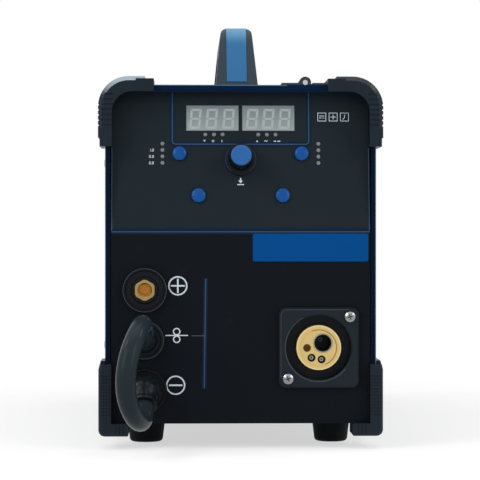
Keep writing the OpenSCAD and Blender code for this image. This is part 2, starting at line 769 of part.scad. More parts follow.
// insulating bodies with a flange, a step and a clamping nut behind the panel
module weld_sockets() color(c_black) for (z = [plus_z, minus_z]) on_front(-socket_x, z) {
  rotate_extrude() polygon([
    [contact_d / 2 + 0.3, 3.2], [contact_d / 2 + 0.3, -6], [7, -6], [7, -22], [socket_body_d / 2, -22],
    [socket_body_d / 2, 0], [socket_d / 2, 0], [socket_d / 2, 3], [socket_d / 2 - 0.9, 4.2],
    [socket_d / 2 - 1.9, 4.2], [socket_d / 2 - 2.5, 2.2], [contact_d / 2 + 2.8, 2.2],
    [contact_d / 2 + 1.8, 3.2]]);
  translate([0, 0, -panel_t - 5]) ring_solid(socket_d - 1, socket_body_d + 2 * seat_gap, 5);
}

// brass contacts: hexagon in front, round stud behind
module socket_contacts() color(c_brass) for (z = [plus_z, minus_z]) on_front(-socket_x, z) difference() {
  union() {
    intersection() {
      translate([0, 0, -6]) rotate(30) cylinder(d = contact_af / cos(30), h = contact_face + 6, $fn = 6);
      translate([0, 0, -7]) cylinder(d = contact_d, h = 14);
    }
    translate([0, 0, -34]) cylinder(d = 13.6, h = 28 + eps);
  }
  translate([0, 0, -19]) cylinder(d = contact_bore, h = 40);
  translate([0, 0, contact_face - contact_mouth])
    cylinder(d1 = contact_bore, d2 = contact_bore + 2 * contact_mouth, h = contact_mouth + eps);
}

// gland of the polarity lead: a dished flange and a short neck
module lead_gland() color(c_black) on_front(-socket_x, gland_z) {
  r = gland_d / 2;
  rotate_extrude() polygon([
    [0, -16], [11, -16], [11, 0], [r, 0], [r, 3.2], [r - 1.2, 4.2], [r - 2.4, 4.2], [r - 3.2, 3.2],
    [lead_d / 2 + 2.5, 3.2], [lead_d / 2 + 1.6, 6], [lead_d / 2 + 0.8, gland_len], [0, gland_len]]);
  translate([0, 0, -panel_t - 4]) ring_solid(28, 22 + 2 * seat_gap, 4);
}

function unit(v) = v / norm(v);

// points [outwards, in front of the panel, above the case bottom] along the lead
function lead_points(rises, loops) = let (
  rise_mid = [gland_len, gland_h + rise_r],
  loop_mid = [boot_knee, minus_h] + boot_len * [cos(boot_droop), -sin(boot_droop)]
    + loop_r * [sin(boot_droop), cos(boot_droop)],
  between = loop_mid - rise_mid,
  climb = atan2(between.y, between.x) + asin((rise_r + loop_r) / norm(between)))
  concat(
    [for (i = [0:rises]) let (a = climb * i / rises)
      [0, rise_mid.x + rise_r * sin(a), rise_mid.y - rise_r * cos(a)]],
    [for (i = [0:loops]) let (u = i / loops, a = u * (180 + boot_droop + climb) - climb)
      [loop_swing * pow(sin(180 * u), 3), loop_mid.x + loop_r * sin(a), loop_mid.y + loop_r * cos(a)]]);

// the polarity lead, swept along these points
module polarity_lead() color(c_rubber) {
  path = [for (p = lead_points(3, 20)) [-socket_x - p[0], yp - p[1], z0 + p[2]]];
  n = len(path) - 1;
  sides = 12;
  into_plug = [0, cos(boot_droop), sin(boot_droop)];
  ahead = [for (i = [0:n]) i == 0 ? [0, -1, 0] : i == n ? into_plug : unit(path[i + 1] - path[i - 1])];
  ring = [for (i = [0:n]) let (u = unit(cross(ahead[i], [1, 0, 0])), v = cross(ahead[i], u))
    for (k = [0:sides - 1]) path[i] + lead_d / 2 * (u * cos(360 * k / sides) + v * sin(360 * k / sides))];
  walls = [for (i = [0:n - 1], k = [0:sides - 1]) let (a = i * sides + k, b = i * sides + (k + 1) % sides)
    each [[a, a + sides, b], [b, a + sides, b + sides]]];
  polyhedron(ring, concat(walls, [[for (k = [0:sides - 1]) k]],
    [[for (k = [sides - 1:-1:0]) n * sides + k]]));
}

// rubber-booted plug in the negative socket; its boot droops under the lead
module polarity_plug() color(c_rubber) on_front(-socket_x, minus_z) {
  difference() {
    translate([0, 0, 4]) cylinder(d = boot_d, h = boot_knee - 8);
    for (i = [0:11]) rotate(30 * i) translate([boot_d / 2 + 0.6, 0, 6])
      cylinder(d = 2.6, h = 20, $fn = 24);
  }
  translate([0, 0, boot_knee - 5]) cylinder(d1 = boot_d - 0.5, d2 = boot_d - 2.5, h = 3);
  translate([0, 0, boot_knee]) sphere(d = boot_d - 2);
  translate([0, 0, boot_knee]) rotate([boot_droop, 0, 0]) {
    cylinder(d1 = boot_d - 3, d2 = boot_end_d, h = boot_len);
    for (z = [boot_len - 6.4, boot_len - 2.6]) translate([0, 0, z]) cylinder(d = boot_end_d + 2.4, h = 2.6);
  }
  // the pin that makes contact
  translate([0, 0, -17]) cylinder(d = contact_bore - 2 * plug_gap, h = 22);
}

module torch_screw_sites() for (s = [-1, 1])
  on_front(torch_x + s * torch_screw_pitch / 2, torch_z + s * torch_screw_pitch / 2) children();

// square flange with a deep round recess; its floor carries insulators into the brass body
module torch_flange() color(c_black) on_front(torch_x, torch_z) difference() {
  union() {
    linear_extrude(3.2) polygon(round_rect(torch_flange_w, torch_flange_w, 5.5));
    translate([0, 0, 3.2 - eps]) linear_extrude(1)
      polygon(round_rect(torch_flange_w - 2, torch_flange_w - 2, 4.5));
    translate([0, 0, -torch_depth - 4]) cylinder(d = torch_barrel_d, h = torch_depth + 4 + eps);
  }
  translate([0, 0, -torch_depth]) cylinder(d = torch_recess_d, h = 40);
  translate([0, 0, 3.2]) cylinder(d1 = torch_recess_d - eps, d2 = torch_recess_d + 2.2, h = 1.1);
  translate([0, 0, -torch_depth - 10]) cylinder(d = 26 + seat_gap, h = 20);
  for (s = [-1, 1]) translate([s * torch_screw_pitch / 2, s * torch_screw_pitch / 2, -10])
    cylinder(d = 4.6, h = 20, $fn = 32);
}

pin_sites = [[-5.7, -7.9], [2.2, -9.2]];
module torch_body() color(c_brass) on_front(torch_x, torch_z) difference() {
  union() {
    translate([0, 0, -torch_depth]) cylinder(d = torch_brass_d, h = torch_depth + 1.2);
    translate([0, 0, 1.2 - eps]) cylinder(d1 = torch_brass_d, d2 = torch_brass_d - 1.6, h = 0.8);
    translate([0, 0, -torch_tail]) cylinder(d = 26, h = torch_tail);
  }
  // shallow step round the face
  translate([0, 0, 1.6]) ring_solid(28.4, 27.4, 1);
  translate([3.2, 3.6, -16]) cylinder(d = torch_hole_d, h = 40);
  translate([-9.2, -0.2, -24]) cylinder(d = 6.3, h = 40);
  for (p = pin_sites) translate([p[0], p[1], -10]) cylinder(d = 6.3, h = 20);
  // the wire's way in from the feeder
  translate([1, 1.2, -torch_tail - 1]) cylinder(d = 5, h = torch_tail - 14);
}

// insulated control pins
module torch_pins() color(c_black) on_front(torch_x, torch_z) {
  for (p = pin_sites) translate([p[0], p[1], -10]) difference() {
    cylinder(d = 6.3 - seat_gap, h = 9.4);
    translate([0, 0, 6]) cylinder(d = 2.4, h = 5, $fn = 24);
  }
}

module torch_screws() color(c_steel) torch_screw_sites() {
  translate([0, 0, 4.2 + 3]) rotate([180, 0, 0]) rotate(20) pan_head(9, 3);
  translate([0, 0, -8]) cylinder(d = 4, h = 12.2 + eps, $fn = 32);
}

// wire feeder, bolted to the divider

module feed_plate() color(c_grey) difference() {
  union() {
    along_x(plate_x, ydr, wire_z - 5) linear_extrude(plate_t) {
      translate([0, -plate_corner.y / 2]) polygon(round_rect(plate_w, plate_h - plate_corner.y, 12));
      translate([-plate_corner.x / 2, 0]) polygon(round_rect(plate_w - plate_corner.x, plate_h, 12));
    }
    along_x(plate_x - 12, ydr, drive_z) cylinder(d = motor_d - 3, h = 12 + eps);
    for (p = [[-42, 26], [42, 12], [42, -38], [-42, -38]])
      along_x(divider_x + divider_t, ydr + p[0], wire_z + p[1])
        cylinder(d = 12, h = plate_x - divider_x - divider_t + eps);
    // bosses of the wire guides
    for (y = [ydr - 32, ydr + 18]) translate([plate_x + plate_t - eps, y, wire_z - 6])
      cube([torch_x + 6 - plate_x - plate_t, 10, 12]);
    // pins for the arm and the tension bolt
    along_x(plate_x, arm_pivot_y, arm_pivot_z) cylinder(d = stub_d, h = arm_x + arm_t + 2 - plate_x);
    along_x(plate_x, bolt_y, bolt_z) cylinder(d = bolt_pin_d, h = bolt_x + 5 - plate_x);
  }
  along_x(plate_x - 11, ydr, drive_z) cylinder(r = shaft_r + run_gap, h = 40);
  translate([torch_x, ydr + 40, wire_z]) rotate([90, 0, 0]) cylinder(d = guide_d + 0.04, h = 80);
}

module feed_motor() color(c_steel) {
  along_x(plate_x - 12 - 62, ydr, drive_z) difference() {
    union() {
      translate([0, 0, 6]) cylinder(d = motor_d, h = 56);
      cylinder(d = motor_d - 4, h = 6 + eps);
    }
    for (i = [0:5]) rotate(60 * i) translate([motor_d / 2 - 8, 0, -1]) cylinder(d = 6, h = 4, $fn = 24);
  }
}

// grooved roll on its shaft, held by a knurled nut
module drive_roll() color(c_steel) along_x(0, ydr, drive_z) {
  r = drive_roll_d / 2;
  groove = 0.6;
  rotate_extrude() polygon(concat(
    [[0, plate_x - 9], [shaft_r, plate_x - 9], [shaft_r, roll_x]], [for (p = [
      [-0.8, 0], [0, 0.8], [0, 2.4], [-groove, 3], [0, 3.6], [0, 8.4], [-groove, 9], [0, 9.6],
      [0, roll_w - 0.8], [-0.8, roll_w]]) [r + p[0], roll_x + p[1]]],
    [[shaft_r, roll_x + roll_w], [shaft_r, roll_x + roll_w + 5], [0, roll_x + roll_w + 5]]));
  translate([0, 0, roll_x + roll_w + seat_gap]) difference() {
    cylinder(d = 18, h = 6);
    translate([0, 0, -eps]) cylinder(r = shaft_r + seat_gap, h = 5.2);
    for (i = [0:11]) rotate(30 * i) translate([9.3, 0, -1]) cylinder(d = 2, h = 10, $fn = 16);
  }
}

module idler_roll() color(c_steel) along_x(roll_x + 1, ydr, idler_z) difference() {
  cylinder(d = idler_d, h = idler_w);
  translate([0, 0, -1]) cylinder(d = stub_d + 2 * run_gap, h = idler_w + 2);
  for (z = [-eps, idler_w - 0.6]) translate([0, 0, z]) ring_solid(idler_d - 4, stub_d + 5, 0.6 + eps);
}

// arm that presses the idler down; its far end is forked for the tension bolt
module pressure_arm() color(c_black) difference() {
  union() {
    along_x(arm_x, ydr, arm_pivot_z) linear_extrude(arm_t) union() {
      translate([-44, -7]) square([90, 14]);
      translate([arm_pivot_y - ydr, 0]) circle(d = 18);
      translate([0, idler_z - arm_pivot_z]) circle(d = 19);
    }
    // stub with a collar and a clip, between which the idler turns
    along_x(arm_x, ydr, idler_z) cylinder(d = stub_d + 3, h = roll_x + 1 - move_gap - arm_x);
    along_x(arm_x, ydr, idler_z) cylinder(d = stub_d, h = roll_x + idler_w + 3 - arm_x);
    along_x(roll_x + 1 + idler_w + move_gap, ydr, idler_z) cylinder(d = stub_d + 3, h = 1.2);
    translate([plate_x + plate_t + 0.5, ydr + 28, arm_pivot_z - 7])
      cube([torch_x - plate_x - plate_t, 22, 14]);
    // lift tab
    along_x(arm_x, ydr + 14, arm_pivot_z + 7 - eps) linear_extrude(18)
      polygon([[0, 0], [3, 10], [7, 10], [10, 0]]);
  }
  along_x(arm_x - 5, arm_pivot_y, arm_pivot_z) cylinder(d = stub_d + 2 * run_gap, h = 20);
  translate([bolt_x - 3.5, ydr + 32, arm_pivot_z - 20]) cube([7, 40, 40]);
}

// swing bolt, drawn released and leaning back
module on_bolt() translate([bolt_x, bolt_y, bolt_z]) rotate([-bolt_lean, 0, 0]) children();

module tension_bolt() color(c_steel) on_bolt() difference() {
  union() {
    translate([-3, 0, 0]) rotate([0, 90, 0]) cylinder(d = 12, h = 6);
    cylinder(d = bolt_d, h = bolt_len);
  }
  translate([-10, 0, 0]) rotate([0, 90, 0]) cylinder(d = bolt_pin_d + 2 * run_gap, h = 20);
}

module tension_knob() color(c_black) on_bolt() translate([0, 0, idler_z - bolt_z + 16.5]) difference() {
  rotate_extrude() polygon([[0, 0], [7, 0], [7, 4], [10, 6], [10, 21], [8.5, 23], [0, 23]]);
  translate([0, 0, -1]) cylinder(d = bolt_d + 2 * run_gap, h = 22);
  for (i = [0:9]) rotate(36 * i) translate([10.6, 0, 7]) cylinder(d = 3, h = 20, $fn = 24);
}

module wire_guides() color(c_brass) for (g = [[yp + torch_tail + 0.3, ydr - 17], [ydr + 17, ydr + 31]])
  translate([torch_x, g[1], wire_z]) rotate([90, 0, 0]) difference() {
    cylinder(d = guide_d, h = g[1] - g[0]);
    translate([0, 0, -1]) cylinder(d = 2.4, h = g[1] - g[0] + 2, $fn = 24);
  }

// spool carrier

hub_x = divider_x + divider_t + 3 + move_gap;
module spool_axle() color(c_steel) along_x(divider_x + divider_t, spool_y, spool_z) {
  cylinder(d = 46, h = 3);
  cylinder(d = axle_d, h = 3 + move_gap + hub_len + 0.6);
  cylinder(d = 10, h = 3 + hub_len + 16);
}

module spool_hub() color(c_black) along_x(hub_x, spool_y, spool_z) {
  difference() {
    union() {
      cylinder(d = hub_d + 16, h = 4);
      cylinder(d = hub_d, h = hub_len);
    }
    difference() {
      translate([0, 0, 6]) cylinder(d = hub_d - 6, h = hub_len);
      cylinder(d = axle_d + 7, h = hub_len + 1);
      for (i = [0:5]) rotate(60 * i) translate([0, -1.2, 0]) cube([hub_d / 2, 2.4, hub_len - 4]);
    }
    translate([0, 0, -1]) cylinder(d = axle_d + 2 * run_gap, h = hub_len + 2);
  }
}

module hub_nut() color(c_bright_blue) along_x(hub_x + hub_len + 0.9, spool_y, spool_z) difference() {
  union() {
    cylinder(d = 26, h = 10);
    for (i = [0:5]) rotate(60 * i) translate([13, 0, 0]) cylinder(d = 8, h = 10, $fn = 32);
  }
  translate([0, 0, -1]) cylinder(d = 10 + 2 * run_gap, h = 12);
}

// the divider stands on the tray and carries the feeder and the spool
module center_divider() color(c_steel) difference() {
  union() {
    translate([divider_x, yf + hoop_d + 3, floor_z])
      cube([divider_t, case_d - 2 * hoop_d - 6, zt - inner_inset - floor_z]);
    translate([divider_x - 12, yf + hoop_d + 3, floor_z])
      cube([12 + eps, case_d - 2 * hoop_d - 6, divider_t]);
  }
  along_x(divider_x - 1, ydr, drive_z) cylinder(d = motor_d + 0.8, h = 4);
}

// power electronics in the left half
heatsink_y = -30;
heatsink_len = 180;
power_margin = 9;
power_x = power_margin - hw;
power_w = -power_x - power_margin;
fins = 12;
fin_t = 2.2;
fin_h = 34;
fin_base = 6;
board_gap = 12;

module heatsink() color(c_steel) translate([0, heatsink_y + heatsink_len, floor_z]) rotate([90, 0, 0])
  linear_extrude(heatsink_len) {
    translate([power_x, fin_h]) square([power_w, fin_base]);
    for (i = [0:fins - 1]) translate([power_x + (power_w - fin_t) / (fins - 1) * i, 0])
      square([fin_t, fin_h + eps]);
  }

module power_board() color([0.1, 0.35, 0.2]) translate([power_x, heatsink_y, floor_z + fin_h + fin_base]) {
  for (x = [8, power_w - 8], y = [10, heatsink_len - 10]) translate([x, y, 0])
    cylinder(d = 7, h = board_gap + eps, $fn = 32);
  translate([0, 0, board_gap]) cube([power_w, heatsink_len, board_t]);
  translate([0, 0, board_gap + board_t - eps]) {
    for (y = [30, 66, 102]) translate([26, y, 0]) cylinder(d = 32, h = 46);
    translate([power_w - 36, 30, 0]) cube([26, 70, 30]);
  }
}

module transformer() color([0.25, 0.2, 0.15]) translate([8 - hw, ydr - 36, floor_z]) {
  difference() {
    cube([56, 70, 52]);
    for (x = [11, 33]) translate([x, -1, 10]) cube([12, 72, 32]);
  }
  translate([28, 35 + 31, 26]) rotate([90, 0, 0]) difference() {
    cylinder(d = 33, h = 62);
    translate([-5.2, -20, -1]) cube([10.4, 40, 70]);
  }
}

// fan, screwed to the back panel
module fan_frame() color(c_black) on_back(fan_x, fan_z) translate([0, 0, -panel_t - fan_t]) {
  difference() {
    linear_extrude(fan_t) polygon(round_rect(fan_w, fan_w, 5));
    translate([0, 0, -1]) cylinder(d = fan_w - 5, h = fan_t + 2);
  }
  difference() {
    union() {
      cylinder(d = 34, h = 4);
      for (a = [45, 135]) rotate(a) translate([-fan_w / 2, -2, 0]) cube([fan_w, 4, 3]);
    }
    translate([0, 0, -1]) cylinder(d = 4 + 2 * run_gap, h = 6);
  }
}

module fan_rotor() color(c_black) on_back(fan_x, fan_z) translate([0, 0, -panel_t - fan_t]) {
  cylinder(d = 4, h = 8);
  translate([0, 0, 4.6]) cylinder(d = 32, h = 16);
  intersection() {
    translate([0, 0, 5]) cylinder(d = fan_w - 9, h = 15);
    for (i = [0:6]) rotate(360 / 7 * i) translate([12, 0, 12.5]) rotate([38, 0, 0])
      translate([0, -14, -0.8]) cube([fan_w / 2, 28, 1.6]);
  }
}

// back fittings

module switch_body() color(c_black) on_back(switch_x, switch_z) difference() {
  union() {
    linear_extrude(2.5) polygon(round_rect(27, 35, 3));
    translate([0, 0, -20]) linear_extrude(20 + eps) square([22, 30], center = true);
  }
  translate([-8.3, -12.5, -8]) cube([16.6, 25, 12]);
  translate([-10.3, 0, rocker_z]) rotate([0, 90, 0]) cylinder(d = trunnion_d + 2 * run_gap, h = 20.6);
}

// rocker on two trunnions, drawn switched off
rocker_tilt = 9;
rocker_z = -1.5;
trunnion_d = 3;
module switch_rocker() color(c_black) on_back(switch_x, switch_z) translate([0, 0, rocker_z])
  rotate([rocker_tilt, 0, 0]) rotate([90, 0, 90]) {
    translate([0, 0, -8]) linear_extrude(16)
      polygon([[-10, -1], [-3, -4], [3, -4], [10, -1], [11.2, 3.4], [0, 5.2], [-11.2, 3.4]]);
    translate([0, 0, -10]) cylinder(d = trunnion_d, h = 20);
  }

module gas_inlet() color(c_brass) on_back(rear_fit_x, gas_z) {
  difference() {
    union() {
      cylinder(d = 19, h = 7, $fn = 6);
      translate([0, 0, -18]) cylinder(d = 13, h = 18 + eps);
      translate([0, 0, 7 - eps]) cylinder(d = gas_tail_d, h = gas_tail - 7);
    }
    for (z = [12, 17, 22]) translate([0, 0, z]) ring_solid(gas_tail_d + 2, gas_tail_d - 0.8, 1.2);
    translate([0, 0, -19]) cylinder(d = gas_tail_d - 3, h = gas_tail + 20);
  }
  translate([0, 0, -panel_t - 4]) ring_solid(18, 13 + 2 * seat_gap, 4);
}

module mains_gland() color(c_black) on_back(rear_fit_x, mains_z) {
  difference() {
    union() {
      cylinder(d = 27, h = 5, $fn = 6);
      translate([0, 0, -14]) cylinder(d = 20, h = 14 + eps);
      translate([0, 0, 5 - eps]) cylinder(d1 = 23, d2 = 22, h = 10);
      translate([0, 0, 15 - 2 * eps]) cylinder(d1 = 22, d2 = mains_bore + 4, h = 7);
    }
    translate([0, 0, -15]) cylinder(d = mains_bore, h = 50);
  }
  translate([0, 0, -panel_t - 4]) ring_solid(26, 20 + 2 * seat_gap, 4);
}

base_tray();
front_frame();
front_panel();
control_film();
rear_frame();
rear_panel();
left_cover();
side_door();
center_divider();
front_upper_bumpers();
front_lower_bumpers();
rear_upper_bumpers();
rear_lower_bumpers();
feet();
case_screws();
handle_body();
handle_strip();
hinge_leaves_fixed();
hinge_leaves_door();
hinge_pins();
door_latch();
displays();
indicator_lamps();
button_wire_size();
button_process();
button_jog();
button_purge();
adjust_knob();
knob_cap();
encoder_plunger();
control_board();
weld_sockets();
socket_contacts();
lead_gland();
polarity_lead();
polarity_plug();
torch_flange();
torch_body();
torch_pins();
torch_screws();
feed_plate();
feed_motor();
drive_roll();
idler_roll();
pressure_arm();
tension_bolt();
tension_knob();
wire_guides();
spool_axle();
spool_hub();
hub_nut();
fan_frame();
fan_rotor();
heatsink();
power_board();
transformer();
switch_body();
switch_rocker();
gas_inlet();
mains_gland();
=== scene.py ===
# %% [markdown]
# # A portable MIG welding machine
#
# The solids come from CAD: the sheet case, the moulded front, the sockets, the
# bumpers and everything behind the door. They arrive as a fixed frame, in
# metres, with X to the right of the controls, Y to the back and Z up. This
# lesson gives them their finishes and adds what is too thin for CAD: printed
# lines, symbols, the digits behind the windows, screws and the bare name plate.

# %% Load the frame
import math
import bmesh
import bpy
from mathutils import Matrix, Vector


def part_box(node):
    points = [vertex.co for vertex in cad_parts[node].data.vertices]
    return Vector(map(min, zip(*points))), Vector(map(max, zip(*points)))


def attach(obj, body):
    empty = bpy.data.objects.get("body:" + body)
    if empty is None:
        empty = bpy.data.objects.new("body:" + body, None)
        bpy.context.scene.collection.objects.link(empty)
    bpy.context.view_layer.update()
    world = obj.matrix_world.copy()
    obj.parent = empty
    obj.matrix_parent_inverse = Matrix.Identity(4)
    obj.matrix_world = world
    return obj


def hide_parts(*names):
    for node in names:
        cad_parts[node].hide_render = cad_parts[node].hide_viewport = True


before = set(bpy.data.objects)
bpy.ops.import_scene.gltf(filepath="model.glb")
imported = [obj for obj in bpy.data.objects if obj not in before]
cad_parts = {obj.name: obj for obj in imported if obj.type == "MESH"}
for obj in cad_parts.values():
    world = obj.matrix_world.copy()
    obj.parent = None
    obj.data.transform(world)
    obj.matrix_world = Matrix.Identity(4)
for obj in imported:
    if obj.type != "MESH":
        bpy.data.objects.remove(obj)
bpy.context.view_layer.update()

scene = bpy.context.scene
MM = 0.001

# %% [markdown]
# ## Where things are
#
# The printed work is laid out in millimetres on three planes: the upright lower
# front, the control panel that leans back seven degrees above its crease, and
# the back. Heights count from the bottom of the case, or up the leaning panel from
# its crease. Three small functions turn such a place into a point in the room.

# %% Planes of the front and the back
FRONT_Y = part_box("front_panel")[0][1] / MM
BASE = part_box("front_frame")[0][2] / MM
CREASE_Z = BASE + 150.5
LEAN = math.radians(7)
FILM = 0.5
BACK_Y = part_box("rear_panel")[1][1] / MM


def on_front(x, z, out=0.0):
    return Vector((x, FRONT_Y - out, BASE + z)) * MM


def on_panel(x, up, out=0.0):
    y = FRONT_Y + up * math.sin(LEAN) - out * math.cos(LEAN)
    return Vector((x, y, CREASE_Z + up * math.cos(LEAN) + out * math.sin(LEAN))) * MM


def on_back(x, z, out=0.0):
    return Vector((x, BACK_Y + out, BASE + z)) * MM


print("front face at", FRONT_Y, "mm, back face at", BACK_Y, "mm, case bottom at", BASE, "mm")

# %% [markdown]
# ## The camera
#
# A welder buys such a machine from a straight front view. The camera stands a
# metre and a half away, a little to the left and at half the height of the
# machine, with a long lens, so that the sides stay out of sight.

# %% Camera
SENSOR = 36.0
LENS_WIDTH = 375.3
EYE, ASIDE, AIM_X = 163.2, -42.6, -0.6
DISTANCE = 1500.0
camera_data = bpy.data.cameras.new("front_camera")
camera_data.sensor_width = SENSOR
camera_data.lens = SENSOR * DISTANCE / LENS_WIDTH
camera = bpy.data.objects.new("front_camera", camera_data)
scene.collection.objects.link(camera)
camera.location = Vector((ASIDE, FRONT_Y - DISTANCE, EYE)) * MM
aim = Vector((AIM_X, FRONT_Y, EYE)) * MM - camera.location
camera.rotation_euler = aim.to_track_quat("-Z", "Y").to_euler()
scene.camera = camera
print("lens", round(camera_data.lens, 1), "mm")

# %% [markdown]
# ## The polarity lead
#
# The lead is a stiff rubber-covered cable with a fixed length. It leaves its gland
# straight, rises a little, and then loops down in front of the panel into the boot
# of its plug. Both bends are arcs wider than twice the cable, joined by a short
# straight run, and the loop swings outwards by up to twelve millimetres. A curve
# with a round section draws it, and the mesh made from that curve is kept.

# %% Route of the polarity lead
SOCKET_X, GLAND_H, MINUS_H = -75.0, 65.5, 26.0
GLAND_LEN, KNEE, BOOT, DROOP = 9.0, 22.0, 14.0, 42.0
RISE_R, LOOP_R, SWING = 45.0, 36.3, 12.0


def round_point(middle, radius, degrees, hollow_up=False):
    a = math.radians(degrees)
    return middle + radius * Vector((math.sin(a), -math.cos(a) if hollow_up else math.cos(a)))


rise_mid = Vector((GLAND_LEN, GLAND_H + RISE_R))
droop = math.radians(DROOP)
boot_end = Vector((KNEE, MINUS_H)) + BOOT * Vector((math.cos(droop), -math.sin(droop)))
loop_mid = round_point(boot_end, LOOP_R, DROOP)
between = loop_mid - rise_mid
climb = math.degrees(math.atan2(between.y, between.x)
                     + math.asin((RISE_R + LOOP_R) / between.length))
side_view = [(0.0, round_point(rise_mid, RISE_R, climb * i / 8, True)) for i in range(9)]
for i in range(73):
    part = i / 72
    swing = SWING * math.sin(math.pi * part) ** 3
    side_view.append((swing, round_point(loop_mid, LOOP_R, part * (180 + DROOP + climb) - climb)))
lead_path = [on_front(SOCKET_X - swing, p.y, p.x) for swing, p in side_view]


# %% A round tube along a line of points
def soft_tube(name, points, radius, resolution=6):
    curve = bpy.data.curves.new(name, "CURVE")
    curve.dimensions = "3D"
    curve.bevel_depth = radius
    curve.bevel_resolution = resolution
    curve.use_fill_caps = True
    route = curve.splines.new("POLY")
    route.points.add(len(points) - 1)
    for point, place in zip(route.points, points):
        point.co = (*place, 1.0)
    route.use_smooth = True
    drawn = bpy.data.objects.new(name + "_line", curve)
    scene.collection.objects.link(drawn)
    mesh = bpy.data.meshes.new_from_object(
        drawn.evaluated_get(bpy.context.evaluated_depsgraph_get()))
    bpy.data.objects.remove(drawn)
    tube = bpy.data.objects.new(name, mesh)
    scene.collection.objects.link(tube)
    return tube


lead = soft_tube("polarity_lead_soft", lead_path, 7.5 * MM)
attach(lead, "case")
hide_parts("polarity_lead")

# %% [markdown]
# ## Colours and shared effects
#
# Colours are written as they look on a screen and turned into the linear values
# that the shader needs. Every finish on this machine shows the same small
# effects: a moulded or sprayed grain, faint scuffs, and dust that settles on
# what faces up. Each is a node group, built once and placed in every material.


# %% Colour helper
def seen(r, g, b):
    def linear(v):
        v /= 255
        return v / 12.92 if v <= 0.04045 else ((v + 0.055) / 1.055) ** 2.4
    return (linear(r), linear(g), linear(b), 1.0)


# %% Effect: grain
def new_group(name, inputs, outputs):
    group = bpy.data.node_groups.new(name, "ShaderNodeTree")
    for label, value in inputs:
        socket = group.interface.new_socket(label, in_out="INPUT", socket_type="NodeSocketFloat")
        socket.default_value = value
    for label in outputs:
        group.interface.new_socket(label, in_out="OUTPUT", socket_type="NodeSocketFloat")
    return group, group.nodes.new("NodeGroupInput"), group.nodes.new("NodeGroupOutput")


def math_node(tree, operation, a, b, clamp=False):
    node = tree.nodes.new("ShaderNodeMath")
    node.operation = operation
    node.use_clamp = clamp
    for socket, value in zip(node.inputs, (a, b)):
        if isinstance(value, (int, float)):
            socket.default_value = value
        else:
            tree.links.new(value, socket)
    return node.outputs[0]


def noise_node(tree, vector, scale, detail=3.0, roughness=0.55):
    node = tree.nodes.new("ShaderNodeTexNoise")
    node.inputs["Detail"].default_value = detail
    node.inputs["Roughness"].default_value = roughness
    tree.links.new(vector, node.inputs["Vector"])
    if isinstance(scale, (int, float)):
        node.inputs["Scale"].default_value = scale
    else:
        tree.links.new(scale, node.inputs["Scale"])
    return node.outputs["Fac"]


grain_group, g_in, g_out = new_group(
    "surface grain", [("Scale", 900.0), ("Broad Scale", 9.0)], ["Height", "Tone"])
place = grain_group.nodes.new("ShaderNodeTexCoord").outputs["Object"]
fine = noise_node(grain_group, place, g_in.outputs["Scale"], 2.0)
cells = grain_group.nodes.new("ShaderNodeTexVoronoi")
grain_group.links.new(place, cells.inputs["Vector"])
grain_group.links.new(g_in.outputs["Scale"], cells.inputs["Scale"])
height = math_node(grain_group, "ADD", math_node(grain_group, "MULTIPLY", fine, 0.6),
                   math_node(grain_group, "MULTIPLY", cells.outputs["Distance"], 0.4))
grain_group.links.new(height, g_out.inputs["Height"])
grain_group.links.new(noise_node(grain_group, place, g_in.outputs["Broad Scale"], 4.0),
                      g_out.inputs["Tone"])

# %% Effect: scuffs
scuff_group, s_in, s_out = new_group("light scuffs", [("Amount", 0.3), ("Scale", 60.0)], ["Mask"])
stretched = scuff_group.nodes.new("ShaderNodeMapping")
stretched.inputs["Rotation"].default_value = (0.3, 0.5, 0.7)
stretched.inputs["Scale"].default_value = (1.0, 6.0, 2.0)
scuff_group.links.new(scuff_group.nodes.new("ShaderNodeTexCoord").outputs["Object"],
                      stretched.inputs["Vector"])
streaks = noise_node(scuff_group, stretched.outputs[0], s_in.outputs["Scale"], 6.0, 0.7)
sharp = math_node(scuff_group, "MULTIPLY",
                  math_node(scuff_group, "SUBTRACT", streaks, 0.62), 7.0, True)
scuff_group.links.new(math_node(scuff_group, "MULTIPLY", sharp, s_in.outputs["Amount"]),
                      s_out.inputs["Mask"])

# %% Effect: dust on what faces up
dust_group, d_in, d_out = new_group("settled dust", [("Amount", 0.2)], ["Mask"])
facing = dust_group.nodes.new("ShaderNodeSeparateXYZ")
dust_group.links.new(dust_group.nodes.new("ShaderNodeNewGeometry").outputs["Normal"],
                     facing.inputs[0])
up = math_node(dust_group, "MULTIPLY", math_node(dust_group, "SUBTRACT", facing.outputs["Z"], 0.4),
               1.6, True)
patches = noise_node(dust_group, dust_group.nodes.new("ShaderNodeTexCoord").outputs["Object"], 35.0,
                     5.0, 0.65)
dust_group.links.new(
    math_node(dust_group, "MULTIPLY", math_node(dust_group, "MULTIPLY", up, patches),
              d_in.outputs["Amount"]), d_out.inputs["Mask"])
print("effects:", [g.name for g in bpy.data.node_groups])

# %% [markdown]
# ## One recipe for every finish
#
# A finish starts from its colour and roughness. The broad tone of the grain
# makes the colour wander a little, scuffs lighten it, dust greys what faces up,
# and the fine grain drives a bump. Metallic and other plain values sit on the
# shader's own sockets.


# %% Recipe
ROUGHNESS_SPREAD = 0.12
DUST_GREY = seen(96, 99, 101)


def effect(tree, group, **values):
    node = tree.nodes.new("ShaderNodeGroup")
    node.node_tree = group
    for label, value in values.items():
        node.inputs[label].default_value = value
    return node.outputs


def mix_colour(tree, factor, a, b):
    node = tree.nodes.new("ShaderNodeMix")
    node.data_type = "RGBA"
    for socket, value in ((node.inputs[0], factor), (node.inputs[6], a), (node.inputs[7], b)):
        if isinstance(value, (int, float, tuple)):
            socket.default_value = value
        else:
            tree.links.new(value, socket)
    return node.outputs[2]


